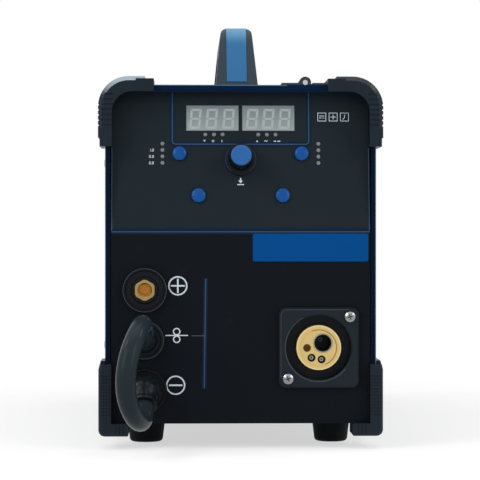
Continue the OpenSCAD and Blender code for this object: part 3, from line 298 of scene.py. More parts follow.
def finish(name, colour, rough, metallic=0.0, scale=900.0, bump=0.15, vary=0.18, scuffs=0.12,
           scuff_colour=None, dust=0.12, gloss=0.2):
    material = bpy.data.materials.new(name)
    material.use_nodes = True
    tree = material.node_tree
    shader = tree.nodes["Principled BSDF"]
    shader.inputs["Metallic"].default_value = metallic
    shader.inputs["Specular IOR Level"].default_value = gloss
    grain = effect(tree, grain_group, Scale=scale)
    dark = tuple(c * (1 - vary) for c in colour[:3]) + (1.0,)
    light = tuple(min(1.0, c * (1 + vary)) for c in colour[:3]) + (1.0,)
    toned = mix_colour(tree, grain["Tone"], dark, light)
    worn = scuff_colour or tuple(min(1.0, c * 1.8 + 0.02) for c in colour[:3]) + (1.0,)
    scuffed = mix_colour(tree, effect(tree, scuff_group, Amount=scuffs)["Mask"], toned, worn)
    dusty = mix_colour(tree, effect(tree, dust_group, Amount=dust)["Mask"], scuffed, DUST_GREY)
    tree.links.new(dusty, shader.inputs["Base Color"])
    uneven = math_node(tree, "MULTIPLY", grain["Tone"], ROUGHNESS_SPREAD)
    roughness = math_node(tree, "ADD", rough - ROUGHNESS_SPREAD / 2, uneven, True)
    tree.links.new(roughness, shader.inputs["Roughness"])
    bumped = tree.nodes.new("ShaderNodeBump")
    bumped.inputs["Strength"].default_value = bump
    bumped.inputs["Distance"].default_value = 0.0004
    tree.links.new(grain["Height"], bumped.inputs["Height"])
    tree.links.new(bumped.outputs[0], shader.inputs["Normal"])
    return material


# %% [markdown]
# ## The finishes
#
# The case is navy enamel with a fine texture. The front is satin black
# plastic, the film over the controls a little greyer, the bumpers matt rubber.
# Buttons, the knob's cap and the strip in the handle share one bright blue.

# %% Paint, plastics and rubber
enamel = finish("navy enamel", seen(2, 18, 41), 0.34, scale=1400, bump=0.12, gloss=0.06)
hoop_enamel = finish("hoop enamel", seen(0, 12, 28), 0.34, scale=1400, bump=0.12, gloss=0.05)
hinge_enamel = finish("hinge enamel", seen(48, 58, 68), 0.4, scale=1200, bump=0.15, gloss=0.25)
front_black = finish("satin black moulding", seen(12, 16, 22), 0.5, scale=1500, bump=0.2,
                     dust=0.06, gloss=0.05)
film_black = finish("control film", seen(24, 32, 38), 0.42, scale=2600, bump=0.05, vary=0.08,
                    scuffs=0.05, dust=0.04, gloss=0.07)
rubber = finish("bumper rubber", seen(17, 28, 36), 0.36, scale=1100, bump=0.22, scuffs=0.18,
                dust=0.12, gloss=0.14)
foot_rubber = finish("foot rubber", seen(14, 17, 21), 0.7, scale=900, bump=0.3, dust=0.1,
                     gloss=0.12)
boot_rubber = finish("boot rubber", seen(14, 21, 25), 0.3, scale=900, bump=0.16, dust=0.04,
                     gloss=0.1)
lead_rubber = finish("lead rubber", seen(31, 40, 45), 0.26, scale=900, bump=0.1, dust=0.02,
                     gloss=0.06)
handle_black = finish("handle moulding", seen(34, 48, 58), 0.42, scale=1000, bump=0.3, gloss=0.15)
strip_blue = finish("handle strip", seen(35, 94, 138), 0.42, scale=1500, bump=0.1, vary=0.08,
                    gloss=0.15)
button_blue = finish("button blue", seen(4, 68, 132), 0.3, scale=1800, bump=0.05, vary=0.06,
                     scuffs=0.05, gloss=0.16)
cap_blue = finish("cap blue", seen(37, 88, 146), 0.4, scale=1800, bump=0.05, vary=0.06, scuffs=0.08,
                  gloss=0.15)
knob_black = finish("knob moulding", seen(15, 18, 23), 0.45, scale=1300, bump=0.2, gloss=0.1)
socket_black = finish("socket moulding", seen(11, 14, 19), 0.32, scale=1100, bump=0.15, dust=0.03,
                      gloss=0.12)
torch_black = finish("torch flange moulding", seen(20, 28, 34), 0.34, scale=1100, bump=0.2,
                     dust=0.03, gloss=0.12)

# %% [markdown]
# ## Effects for single places
#
# Three more groups serve single pieces, and each paints light or shade into a
# colour. One fades a tone from a low to a high level: painted light that makes the
# windows paler towards their foot, and the hoop and the strip in the handle paler
# towards their tops. One paints shade on the hoop's front face, darker than its
# sides. One finds the bevels of the bumpers that face up, forward and left, and
# paints a pale highlight on them.

# %% Effect: a fade from low to high, used for painted light
fade_group, f_in, f_out = new_group("upright fade", [("Low", 0.0), ("High", 1.0)], ["Mask"])
level = fade_group.nodes.new("ShaderNodeSeparateXYZ")
fade_group.links.new(fade_group.nodes.new("ShaderNodeTexCoord").outputs["Object"], level.inputs[0])
fading = fade_group.nodes.new("ShaderNodeMapRange")
fade_group.links.new(level.outputs["Z"], fading.inputs["Value"])
fade_group.links.new(f_in.outputs["Low"], fading.inputs["From Min"])
fade_group.links.new(f_in.outputs["High"], fading.inputs["From Max"])
fade_group.links.new(fading.outputs["Result"], f_out.inputs["Mask"])


def faded(material, low, high, bottom, top):
    tree = material.node_tree
    mask = effect(tree, fade_group, Low=low, High=high)["Mask"]
    tree.links.new(mix_colour(tree, mask, bottom, top),
                   tree.nodes["Principled BSDF"].inputs["Base Color"])


# Painted light: the hoop's enamel and the handle's strip turn paler towards their tops.
FADE_FROM, FADE_TO = BASE + 225, BASE + 262
faded(hoop_enamel, FADE_FROM * MM, FADE_TO * MM, seen(0, 14, 31), seen(0, 22, 50))
strip_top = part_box("handle_strip")[1][2]
faded(strip_blue, strip_top - 16 * MM, strip_top - 3 * MM, seen(35, 94, 138), seen(82, 130, 160))

# %% Effect: painted shade, the front face of the hoop darker than its sides
hoop_front_shade_group, front_in, front_out = new_group("faces forward", [("Rate", 4.0)], ["Mask"])
forward = hoop_front_shade_group.nodes.new("ShaderNodeSeparateXYZ")
hoop_front_shade_group.links.new(hoop_front_shade_group.nodes.new("ShaderNodeNewGeometry").outputs["Normal"],
                      forward.inputs[0])
hoop_front_shade_group.links.new(
    math_node(hoop_front_shade_group, "MULTIPLY",
              math_node(hoop_front_shade_group, "SUBTRACT", -0.5, forward.outputs["Y"]),
              front_in.outputs["Rate"], True),
    front_out.inputs["Mask"])
hoop_tree = hoop_enamel.node_tree
hoop_base = hoop_tree.nodes["Principled BSDF"].inputs["Base Color"]
hoop_tree.links.new(mix_colour(hoop_tree, effect(hoop_tree, hoop_front_shade_group)["Mask"], seen(2, 18, 41),
                               hoop_base.links[0].from_socket), hoop_base)

# %% Effect: a painted highlight on the bevels of the bumpers
bevel_highlight_group, r_in, r_out = new_group("painted bevel highlight", [("Amount", 1.0)], ["Mask"])
slope = bevel_highlight_group.nodes.new("ShaderNodeSeparateXYZ")
bevel_highlight_group.links.new(bevel_highlight_group.nodes.new("ShaderNodeNewGeometry").outputs["Normal"], slope.inputs[0])
spot = bevel_highlight_group.nodes.new("ShaderNodeSeparateXYZ")
bevel_highlight_group.links.new(bevel_highlight_group.nodes.new("ShaderNodeTexCoord").outputs["Object"], spot.inputs[0])
to_front = math_node(bevel_highlight_group, "MULTIPLY", slope.outputs["Y"], -1.0)
to_left = math_node(bevel_highlight_group, "MULTIPLY", slope.outputs["X"], -1.0)
on_left = math_node(bevel_highlight_group, "MULTIPLY", spot.outputs["X"], -1.0)
highlight_mask = r_in.outputs["Amount"]
for value, limit, rate in ((slope.outputs["Z"], 0.3, 3.0), (to_front, 0.4, 5.0),
                           (to_left, -0.25, 4.0), (on_left, 0.0, 50.0)):
    over = math_node(bevel_highlight_group, "SUBTRACT", value, limit)
    highlight_mask = math_node(bevel_highlight_group, "MULTIPLY", highlight_mask,
                       math_node(bevel_highlight_group, "MULTIPLY", over, rate, True))
bevel_highlight_group.links.new(highlight_mask, r_out.inputs["Mask"])
rubber_tree = rubber.node_tree
rubber_base = rubber_tree.nodes["Principled BSDF"].inputs["Base Color"]
rubber_tree.links.new(
    mix_colour(rubber_tree, effect(rubber_tree, bevel_highlight_group, Amount=0.9)["Mask"],
               rubber_base.links[0].from_socket, seen(142, 155, 164)), rubber_base)

# %% [markdown]
# ## Metals, windows and boards
#
# Brass comes in three states: aged on the torch socket, worn in the weld sockets,
# and a paler copy for a painted highlight on a turned edge. The windows are smoked,
# with painted light that makes them paler towards their foot.

# %% Metals, windows and boards
brass = finish("aged brass", seen(206, 180, 118), 0.38, metallic=1.0, scale=700, bump=0.08,
               vary=0.1, scuffs=0.3, scuff_colour=seen(150, 118, 62), dust=0.03)
highlight_brass = finish("painted brass highlight", seen(232, 212, 160), 0.28, metallic=1.0, scale=900,
                      bump=0.05, vary=0.1, dust=0.0)
worn_brass = finish("worn brass", seen(164, 138, 88), 0.3, metallic=1.0, scale=500, bump=0.2,
                    vary=0.2, scuffs=0.5, scuff_colour=seen(120, 86, 40), dust=0.02)
zinc = finish("zinc-plated steel", seen(176, 178, 176), 0.3, metallic=1.0, scale=900, bump=0.08,
              vary=0.08, scuffs=0.2, dust=0.05)
screw_zinc = finish("screw heads", seen(146, 148, 147), 0.2, metallic=1.0, scale=900, bump=0.1,
                    vary=0.12, scuffs=0.2, dust=0.03)
bright_steel = finish("turned steel", seen(198, 200, 203), 0.26, metallic=1.0, scale=1500,
                      bump=0.05, vary=0.05, dust=0.02)
cast_alloy = finish("cast alloy", seen(172, 175, 178), 0.45, metallic=1.0, scale=500, bump=0.35,
                    vary=0.1)
window = finish("smoked window", seen(110, 119, 122), 0.3, scale=3000, bump=0.01, vary=0.03,
                scuffs=0.03, dust=0.0, gloss=0.15)
window_low, window_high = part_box("displays")
# Painted light: the windows turn paler towards their foot.
faded(window, window_low[2], window_high[2], seen(140, 148, 147), seen(110, 119, 122))
lens = finish("lamp lens", seen(112, 117, 118), 0.35, scale=2000, bump=0.02, vary=0.04,
              scuffs=0.0, dust=0.0)
board_green = finish("circuit board", seen(22, 78, 46), 0.4, scale=600, bump=0.1)
core_brown = finish("varnished core", seen(92, 66, 44), 0.5, scale=400, bump=0.3)
print("finishes:", len(bpy.data.materials))

# %% Dress the CAD solids
dressing = {
    enamel: "base_tray rear_frame left_cover side_door",
    hoop_enamel: "front_frame",
    front_black: "front_panel rear_panel fan_frame fan_rotor door_latch switch_body "
                 "mains_gland pressure_arm tension_knob spool_hub",
    hinge_enamel: "hinge_leaves_fixed hinge_leaves_door",
    film_black: "control_film",
    rubber: "front_upper_bumpers front_lower_bumpers rear_upper_bumpers rear_lower_bumpers",
    foot_rubber: "feet",
    boot_rubber: "lead_gland polarity_plug",
    handle_black: "handle_body",
    strip_blue: "handle_strip hub_nut",
    button_blue: "button_wire_size button_process button_jog button_purge",
    cap_blue: "knob_cap",
    knob_black: "adjust_knob switch_rocker",
    socket_black: "weld_sockets torch_pins",
    torch_black: "torch_flange",
    brass: "torch_body wire_guides gas_inlet",
    worn_brass: "socket_contacts",
    zinc: "case_screws center_divider feed_motor",
    screw_zinc: "torch_screws",
    bright_steel: "hinge_pins drive_roll idler_roll tension_bolt spool_axle encoder_plunger",
    cast_alloy: "feed_plate heatsink",
    window: "displays",
    lens: "indicator_lamps",
    board_green: "control_board power_board",
    core_brown: "transformer",
}
for material, names in dressing.items():
    for name in names.split():
        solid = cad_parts[name]
        solid.data.materials.clear()
        solid.data.materials.append(material)
lead.data.materials.append(lead_rubber)
dressed = {name for names in dressing.values() for name in names.split()}
print("not dressed:", sorted(set(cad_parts) - dressed))

# %% [markdown]
# ## Printed work
#
# Print on a panel is a few hundredths of a millimetre thick. Each mark here is a
# flat shape drawn in millimetres, raised by that much and set on its plane, so
# it stays a closed little solid and never fights with the face beneath it.


# %% Keep a drawn mesh as a piece
def add_piece(name, mesh, material, body):
    bmesh.ops.recalc_face_normals(mesh, faces=mesh.faces)
    data = bpy.data.meshes.new(name)
    mesh.to_mesh(data)
    mesh.free()
    data.materials.append(material)
    piece = bpy.data.objects.new(name, data)
    scene.collection.objects.link(piece)
    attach(piece, body)


# %% Raise flat shapes on a plane
def raised(name, shapes, plane, low, high, material, body="case"):
    mesh = bmesh.new()
    for shape in shapes:
        mesh.faces.new([mesh.verts.new((x, y, 0.0)) for x, y in shape])
    bmesh.ops.remove_doubles(mesh, verts=mesh.verts, dist=0.002)
    mesh.normal_update()
    grown = bmesh.ops.extrude_face_region(mesh, geom=list(mesh.faces))
    for vertex in (v for v in grown["geom"] if isinstance(v, bmesh.types.BMVert)):
        vertex.co.z = 1.0
    for vertex in mesh.verts:
        x, y, z = vertex.co
        vertex.co = plane(x, y, low + (high - low) * z)
    add_piece(name, mesh, material, body)


# %% Shapes: lines, arcs, rings, rounded plates
def line(points, width, closed=False):
    pts = [Vector(p) for p in points]
    n = len(pts)
    left, right = [], []
    for i, p in enumerate(pts):
        before = p - pts[i - 1] if closed or i else pts[1] - p
        after = pts[(i + 1) % n] - p if closed or i < n - 1 else before
        a, b = before.normalized(), after.normalized()
        across = Vector((-(a + b).y, (a + b).x)).normalized()
        reach = width / 2 / max(0.35, across.dot(Vector((-a.y, a.x))))
        left.append(p + across * reach)
        right.append(p - across * reach)
    last = n if closed else n - 1
    return [[left[i], left[(i + 1) % n], right[(i + 1) % n], right[i]] for i in range(last)]


def arc(cx, cy, r, a0, a1, n=8):
    steps = [math.radians(a0 + (a1 - a0) * i / n) for i in range(n + 1)]
    return [(cx + r * math.cos(a), cy + r * math.sin(a)) for a in steps]


def ring(cx, cy, r, width, n=32):
    return line(arc(cx, cy, r, 0, 360 - 360 / n, n - 1), width, closed=True)


def plate(x0, y0, x1, y1, r=0.0, n=5):
    if r == 0:
        return [[(x0, y0), (x1, y0), (x1, y1), (x0, y1)]]
    return [arc(x1 - r, y1 - r, r, 0, 90, n) + arc(x0 + r, y1 - r, r, 90, 180, n)
            + arc(x0 + r, y0 + r, r, 180, 270, n) + arc(x1 - r, y0 + r, r, 270, 360, n)]


# %% Inks
white_ink = finish("white print", seen(190, 199, 208), 0.5, scale=2500, bump=0.03, vary=0.05,
                   scuffs=0.08, scuff_colour=seen(90, 100, 108), dust=0.0)
stripe_ink = finish("grey-blue print", seen(54, 76, 102), 0.45, scale=2500, bump=0.03, vary=0.05,
                    dust=0.0, gloss=0.1)
glow_ink = finish("dark blue print", seen(10, 30, 50), 0.45, scale=2500, bump=0.03, vary=0.06,
                  dust=0.0, gloss=0.06)
sheen_ink = finish("painted blue sheen", seen(20, 54, 100), 0.42, scale=2500, bump=0.03, vary=0.05,
                  dust=0.0)
digit_ink = finish("unlit segments", seen(152, 163, 163), 0.35, scale=2500, bump=0.01, vary=0.03,
                   scuffs=0.0, dust=0.0, gloss=0.15)
plate_blue = finish("blue plate", seen(0, 64, 124), 0.35, scale=2500, bump=0.03, vary=0.08,
                    dust=0.0, gloss=0.05)
print("inks ready")

# %% [markdown]
# ## Lines on the control film
#
# A thin line follows the sides and the foot of the film, a second one frames the
# displays from the top edge down, with two rounded corners. Dark blue bands lie
# under the lines, so that they seem to glow a little.

# %% Film lines
film_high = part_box("control_film")[1]
TOP = (film_high[2] / MM - CREASE_Z) / math.cos(LEAN) - 0.2
HALF = film_high[0] / MM - 0.36
SIDES_TOP, FINE = 66, 0.7
FRAME_LEFT, FRAME_RIGHT, FRAME_LOW, FRAME_R = -53.6, 53.8, 69.0, 2.8
frame_line = [(FRAME_LEFT, TOP)]
frame_line += arc(FRAME_LEFT + FRAME_R, FRAME_LOW + FRAME_R, FRAME_R, 180, 270, 6)
frame_line += arc(FRAME_RIGHT - FRAME_R, FRAME_LOW + FRAME_R, FRAME_R, 270, 360, 6)
frame_line += [(FRAME_RIGHT, TOP)]
sides = [shape for s in (-1, 1) for shape in line([(s * HALF, 0.4), (s * HALF, SIDES_TOP)], FINE)]
raised("film_glow", line(frame_line, 4.2) + plate(0.5 - HALF, 0.4, HALF - 0.5, 2.8), on_panel, FILM,
       FILM + 0.03, glow_ink)
raised("film_lines", sides + line(frame_line, FINE), on_panel, FILM, FILM + 0.05, stripe_ink)
foot_z = (CREASE_Z - BASE) - 0.4
raised("foot_line", plate(-HALF - 0.3, foot_z - 0.35, HALF + 0.3, foot_z + 0.35), on_front,
       0.0, 0.3, stripe_ink)
raised("foot_glow", plate(-HALF, foot_z - 1.9, HALF, foot_z - 0.35), on_front, 0.0, 0.05, glow_ink)
# A strip in the gap under the hoop's lip, paler and bluer than the film: painted light against the
# shade under the lip.
raised("film_top_painted_light", plate(-HALF + 6, TOP + 0.2, HALF - 6, TOP + 2.4), on_panel, 0.05, FILM + 0.5,
       finish("film edge with painted light", seen(24, 44, 74), 0.5, dust=0.0, gloss=0.1))
print("film: lines", round(2 * HALF, 1), "mm apart, top at", round(TOP, 1), "mm")

# %% [markdown]
# ## Display digits
#
# Each window holds three digits of seven slanted segments. The segments are
# unlit, so they only look paler than the smoked window around them.


# %% Seven segments
def seven_segments(cx, cy, w, h, t, slant=0.09, gap=0.22):
    x, y = w / 2, h / 2

    def at(px, py):
        return (cx + px + slant * py, cy + py)

    shapes = [[at(gap - x + t / 2, 0), at(t - x + gap, t / 2 - gap), at(x - t - gap, t / 2 - gap),
               at(x - t / 2 - gap, 0), at(x - t - gap, gap - t / 2), at(t - x + gap, gap - t / 2)]]
    for s in (-1, 1):
        shapes.append([at(gap - x, s * y), at(x - gap, s * y), at(x - t, s * (y - t + gap)),
                       at(t - x, s * (y - t + gap))])
        for v in (-1, 1):
            shapes.append([at(s * x, v * (y - gap)), at(s * (x - t + gap), v * (y - t)),
                           at(s * (x - t + gap), v * (t / 2 + gap)), at(s * (x - t / 2), v * gap),
                           at(s * x, v * (t / 4 + gap))])
    return shapes


DIGIT_MIDDLE, DIGIT_SIZE, SEGMENT = 89.2, (8.8, 16.0), 2.1
digits = []
for x in (-35.4, -22.6, -9.3, 9.3, 22.0, 34.8):
    digits += seven_segments(x, DIGIT_MIDDLE, *DIGIT_SIZE, SEGMENT)
raised("display_segments", digits, on_panel, FILM + 0.1, FILM + 0.14, digit_ink)

# %% [markdown]
# ## Symbols
#
# A plus and a minus in circles mark the sockets, two small circles on a line
# mark the lead of the wire feeder, and a thin line joins them. On the film there
# are plain wire sizes beside the lamps, tiny signs under the lamps of the displays,
# three boxed signs and a push sign.


# %% Symbols beside the sockets
def bar(cx, cy, w, h):
    return plate(cx - w / 2, cy - h / 2, cx + w / 2, cy + h / 2)


PLUS, MINUS, FEED = (-49.2, 107.9), (-50.9, 30.2), (-50.1, 69.1)
signs = ring(*PLUS, 7.0, 1.1) + bar(*PLUS, 11.0, 1.2)
signs += [shape for s in (-1, 1) for shape in bar(PLUS[0], PLUS[1] + s * 3.1, 1.2, 5.0)]
signs += ring(*MINUS, 7.0, 1.1) + bar(*MINUS, 10.4, 1.3)
signs += [shape for s in (-1, 1) for shape in ring(FEED[0], FEED[1] + s * 3.0, 2.5, 0.9, 20)]
raised("socket_signs", signs, on_front, 0.0, 0.05, white_ink)
raised("feed_line", bar(*FEED, 17.6, 0.8), on_front, 0.0, 0.06, white_ink)
link = [(-28.6, 27.8), (-27.4, 113.4)]
raised("socket_link_glow", line(link, 3.6), on_front, 0.0, 0.03, glow_ink)
raised("socket_link", line(link, 0.7) + bar(-33.4, 68.8, 9.8, 0.6), on_front, 0.0, 0.05, stripe_ink)


# %% Small signs on the film
def small_digit(value, x, y, h):
    w, t = h * 0.55, 0.3
    lit = {"0": "abcdef", "1": "bc", "8": "abcdefg", "9": "abcdfg"}[value]
    ends = {"a": ((0, h), (w, h)), "b": ((w, h), (w, h / 2)), "c": ((w, h / 2), (w, 0)),
            "d": ((0, 0), (w, 0)), "e": ((0, 0), (0, h / 2)), "f": ((0, h / 2), (0, h)),
            "g": ((0, h / 2), (w, h / 2))}
    shapes = []
    for key in lit:
        (ax, ay), (bx, by) = ends[key]
        shapes += plate(x + min(ax, bx) - t / 2, y + min(ay, by) - t / 2,
                        x + max(ax, bx) + t / 2, y + max(ay, by) + t / 2)
    return shapes


LAMP_TOP, LAMP_STEP, DIGIT_H = 69.4, 5.1, 1.8
BOXES, BOX_HALF, BOX_LOW, BOX_HIGH = (64.2, 73.2, 82.1), 3.2, 87.6, 94.0
# Strokes that cross lie in two layers of a different height.
film_layers = {0: [], 1: []}
for row, text in enumerate(("10", "09", "08")):
    v = LAMP_TOP - LAMP_STEP * (row + 1) - 1.0
    for k, value in enumerate(text):
        for n, shape in enumerate(small_digit(value, -71.6 + 2.3 * k, v, DIGIT_H)):
            film_layers[n % 2].append(shape)
    film_layers[0] += plate(-70.15, v - 0.15, -69.8, v + 0.2)
for cx in BOXES:
    left, right = cx - BOX_HALF, cx + BOX_HALF
    film_layers[0] += line([(left, BOX_LOW), (right, BOX_LOW), (right, BOX_HIGH), (left, BOX_HIGH)],
                           0.45, closed=True)
film_layers[1] += bar(64.2, 91.6, 4.0, 0.5) + bar(63.0, 90.0, 1.5, 0.5) + bar(65.4, 90.0, 1.5, 0.5)
film_layers[1] += bar(73.2, 90.8, 0.5, 4.0) + bar(71.9, 90.8, 1.9, 0.5) + bar(74.5, 90.8, 1.9, 0.5)
film_layers[1] += line([(82.1, 92.8), (82.1, 90.4), (80.8, 88.8)], 0.5)
film_layers[0] += [[(-29.2, 72.3), (-28.3, 70.8), (-27.4, 72.3)],
                   [(12.3, 70.8), (13.9, 70.8), (13.1, 72.3)]]
film_layers[0] += ring(-21.5, 71.5, 0.75, 0.35, 12) + bar(-14.6, 71.5, 0.5, 1.8)
film_layers[0] += line([(18.7, 71.1), (19.6, 72.0), (20.5, 71.1), (21.4, 72.0)], 0.4)
film_layers[0] += bar(27.1, 71.4, 1.8, 0.7) + bar(30.2, 71.4, 2.2, 0.7)
for k, shapes in film_layers.items():
    raised("film_signs_%d" % k, shapes, on_panel, FILM, FILM + 0.04 + 0.01 * k, white_ink)

# %% Push sign under the knob
push = [[(-0.5, 42.2), (0.5, 42.2), (0.5, 40.1), (-0.5, 40.1)],
        [(-1.9, 40.1), (0.0, 37.9), (1.9, 40.1)]]
push += plate(-2.7, 36.5, 2.7, 37.3)
raised("push_sign", push, on_panel, FILM, FILM + 0.04, white_ink)

# %% [markdown]
# ## Painted edge highlight and bare plate
#
# The rounded outer edge of the hoop gets a painted highlight: a thin pale line.
# Between the controls and the sockets runs a band for names. Here it stays
# empty: only the blue plate is left, a thin label with round corners.

# %% Painted highlight on the edge of the hoop
hoop_low, hoop_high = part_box("front_frame")
hoop_out = (FRONT_Y * MM - hoop_low[1]) / MM
edge_x, edge_top = hoop_high[0] / MM - 0.35, (hoop_high[2] - BASE * MM) / MM - 0.35
hoop_highlight_lines = line([(-75, edge_top), (36, edge_top)], 0.5)
hoop_highlight_lines += line([(edge_x, 40), (edge_x, 224)], 0.5) + line([(-edge_x, 52), (-edge_x, 224)], 0.4)
raised("hoop_highlight_lines", hoop_highlight_lines, on_front, hoop_out - 0.2, hoop_out + 0.03,
       finish("painted hoop highlight", seen(84, 110, 134), 0.4, dust=0.0))
print("hoop stands", round(hoop_out, 2), "mm in front of the panel")

# %% Blue plate
raised("name_plate", plate(9.4, 126.9, 100.0, 148.7, 1.6), on_front, 0.0, 0.35, plate_blue)

# %% [markdown]
# ## Rings and liners
#
# In the torch socket a dark liner with a guide tube lies in the main hole; the
# liner's black is partly painted shade for the depth of the hole. A pale washer
# rings its mouth, the gas hole has a tanned seat, and each control pin ends in a
# small bright contact. The brass has a painted highlight on its turned edge, and
# the seat in the open weld socket is copper. They are turned shapes: a short outline
# spun about an axis that points out of the panel. Thin raised shapes add painted
# shade in the groove and in the crosses of the screws, painted highlights on the
# moulded rims, and two blue arcs of painted sheen on the knob's skirt, which turn
# with it.


# %% Turned pieces
def turned(name, outline, middle, plane, material, body="case", steps=40):
    mesh = bmesh.new()
    loops = []
    for k in range(steps):
        a = 2 * math.pi * k / steps
        loops.append([mesh.verts.new(plane(middle[0] + r * math.cos(a),
                                           middle[1] + r * math.sin(a), w))
                      for r, w in outline])
    n = len(outline)
    for k in range(steps):
        here, after = loops[k], loops[(k + 1) % steps]
        for i in range(n):
            mesh.faces.new((here[i], after[i], after[(i + 1) % n], here[(i + 1) % n]))
    add_piece(name, mesh, material, body)


def pipe(r0, r1, w0, w1):
    return [(r0, w0), (r1, w0), (r1, w1), (r0, w1)]


TORCH = (61.0, 59.5)
PLUS_H = 104.5
SCREW_OFF = 24.2
GROOVE_R, RECESS_R, FLANGE_HALF, CORNER_R = 13.95, 26.45, 29.7, 4.1
MAIN_HOLE = (TORCH[0] + 3.2, TORCH[1] + 3.6)
liner_and_shade_black = finish("hole liner and painted shade", seen(10, 11, 13), 0.4, scale=1500, bump=0.05, dust=0.0,
                     gloss=0.15)
tube_grey = finish("guide tube", seen(120, 132, 138), 0.4, scale=1500, bump=0.05, dust=0.0)
seat_tan = finish("tanned seat", seen(126, 92, 22), 0.4, scale=1200, bump=0.1, dust=0.0)
rim_highlight_grey = finish("painted rim highlight", seen(58, 66, 72), 0.35, scale=1400, bump=0.1, dust=0.0)
washer_nickel = finish("nickel washer", seen(158, 152, 132), 0.32, metallic=1.0, scale=1200,
                       bump=0.05, dust=0.0)
copper = finish("copper seat", seen(184, 124, 58), 0.35, metallic=1.0, scale=900, bump=0.1,
                dust=0.0)
# The liner's black is partly painted shade, for the depth of the hole.
turned("torch_liner",
       [(6.75, -15.9), (6.75, 1.2), (5.9, 1.2), (5.9, -15.4), (0.1, -15.4), (0.1, -15.9)],
       MAIN_HOLE, on_front, liner_and_shade_black)
turned("guide_tube", pipe(0.9, 1.6, -15.4, -13.8), (MAIN_HOLE[0] - 1.3, MAIN_HOLE[1] + 2.0),
       on_front, tube_grey)
turned("hole_washer", pipe(6.85, 7.9, 2.0, 2.15), MAIN_HOLE, on_front, washer_nickel)
turned("gas_seat", [(3.1, -3.0), (3.1, 1.6), (2.7, 1.6), (2.7, -2.5), (0.4, -2.5), (0.4, -3.0)],
       (TORCH[0] - 9.2, TORCH[1] - 0.2), on_front, seat_tan)
contact = [(1.15, -4.0), (1.15, -0.6), (1.5, -0.6), (1.5, -0.3), (0.75, -0.3), (0.75, -4.0)]
for k, (x, y) in enumerate(((-5.7, -7.9), (2.2, -9.2))):
    turned("pin_contact_%d" % k, contact, (TORCH[0] + x, TORCH[1] + y), on_front, washer_nickel)
turned("socket_seat",
       [(4.55, -9.0), (4.55, 0.8), (4.25, 0.8), (4.25, -8.5), (0.4, -8.5), (0.4, -9.0)],
       (SOCKET_X, PLUS_H), on_front, copper)

# %% Painted highlight on the turned edge of the brass
turned("torch_edge_highlight", pipe(16.7, 17.4, 1.9, 2.05), TORCH, on_front, highlight_brass)

# %% Painted shade in the round groove and in the crosses of the screws
groove_shade = finish("painted groove shade", seen(142, 114, 62), 0.6, scale=900, bump=0.1, dust=0.0, gloss=0.1)
raised("groove_shade_line", line(arc(*TORCH, GROOVE_R, -70, 112, 40), 0.9), on_front, 1.62, 2.03,
       groove_shade)
# Painted shade: dark crosses stand for the shade inside the screws' recesses.
cross_shade = finish("painted recess shade", seen(40, 40, 38), 0.5, scale=900, bump=0.1, dust=0.0, gloss=0.1)
crosses = []
CROSS_TURN = 20
for s in (-1, 1):
    middle = Vector(TORCH) + Vector((s, s)) * SCREW_OFF
    for k in range(4):
        angle = math.radians(90 * k + CROSS_TURN)
        way = Vector((math.cos(angle), math.sin(angle)))
        crosses += line([middle + way * 0.45, middle + way * 2.3], 0.7)
    crosses += bar(*middle, 0.6, 0.6)
raised("screw_cross_shade", crosses, on_front, 5.5, 7.23, cross_shade)

# %% Painted highlights on the moulded rims
rims = line(arc(*TORCH, RECESS_R, 150, 322, 40), 0.5)
rims += line(arc(*TORCH, RECESS_R, 118, 150, 8), 0.3)
corner = FLANGE_HALF - CORNER_R
rims += line([(TORCH[0] - FLANGE_HALF, TORCH[1] - 24)]
             + arc(TORCH[0] - corner, TORCH[1] + corner, CORNER_R, 180, 90, 6)
             + [(TORCH[0] + 24, TORCH[1] + FLANGE_HALF)], 0.35)
raised("torch_flange_highlight", rims, on_front, 4.0, 4.27, rim_highlight_grey)
for name, height, radius in (("plus_socket_highlight", PLUS_H, 16.9), ("gland_rim_highlight", GLAND_H, 14.6)):
    raised(name, ring(SOCKET_X, height, radius, 0.35, 56), on_front, 3.6, 4.27, rim_highlight_grey)

# %% Painted sheen: two blue arcs on the knob's skirt
KNOB_UP, SKIRT_R = 56.5, 11.7
arcs = [shape for start in (140, -52)
        for shape in line(arc(0, KNOB_UP, SKIRT_R, start, start + 92, 14), 0.8)]
raised("knob_sheen_arcs", arcs, on_panel, 3.9, 4.25, sheen_ink, "knob")

# %% [markdown]
# ## Screws by Geometry Nodes
#
# The hinges, the fan and the back panel are held by the same pan-head screw.
# A small tree makes the head, cuts its slot and puts one on each point it is
# given, turned to the point's own direction. The result becomes a plain mesh.


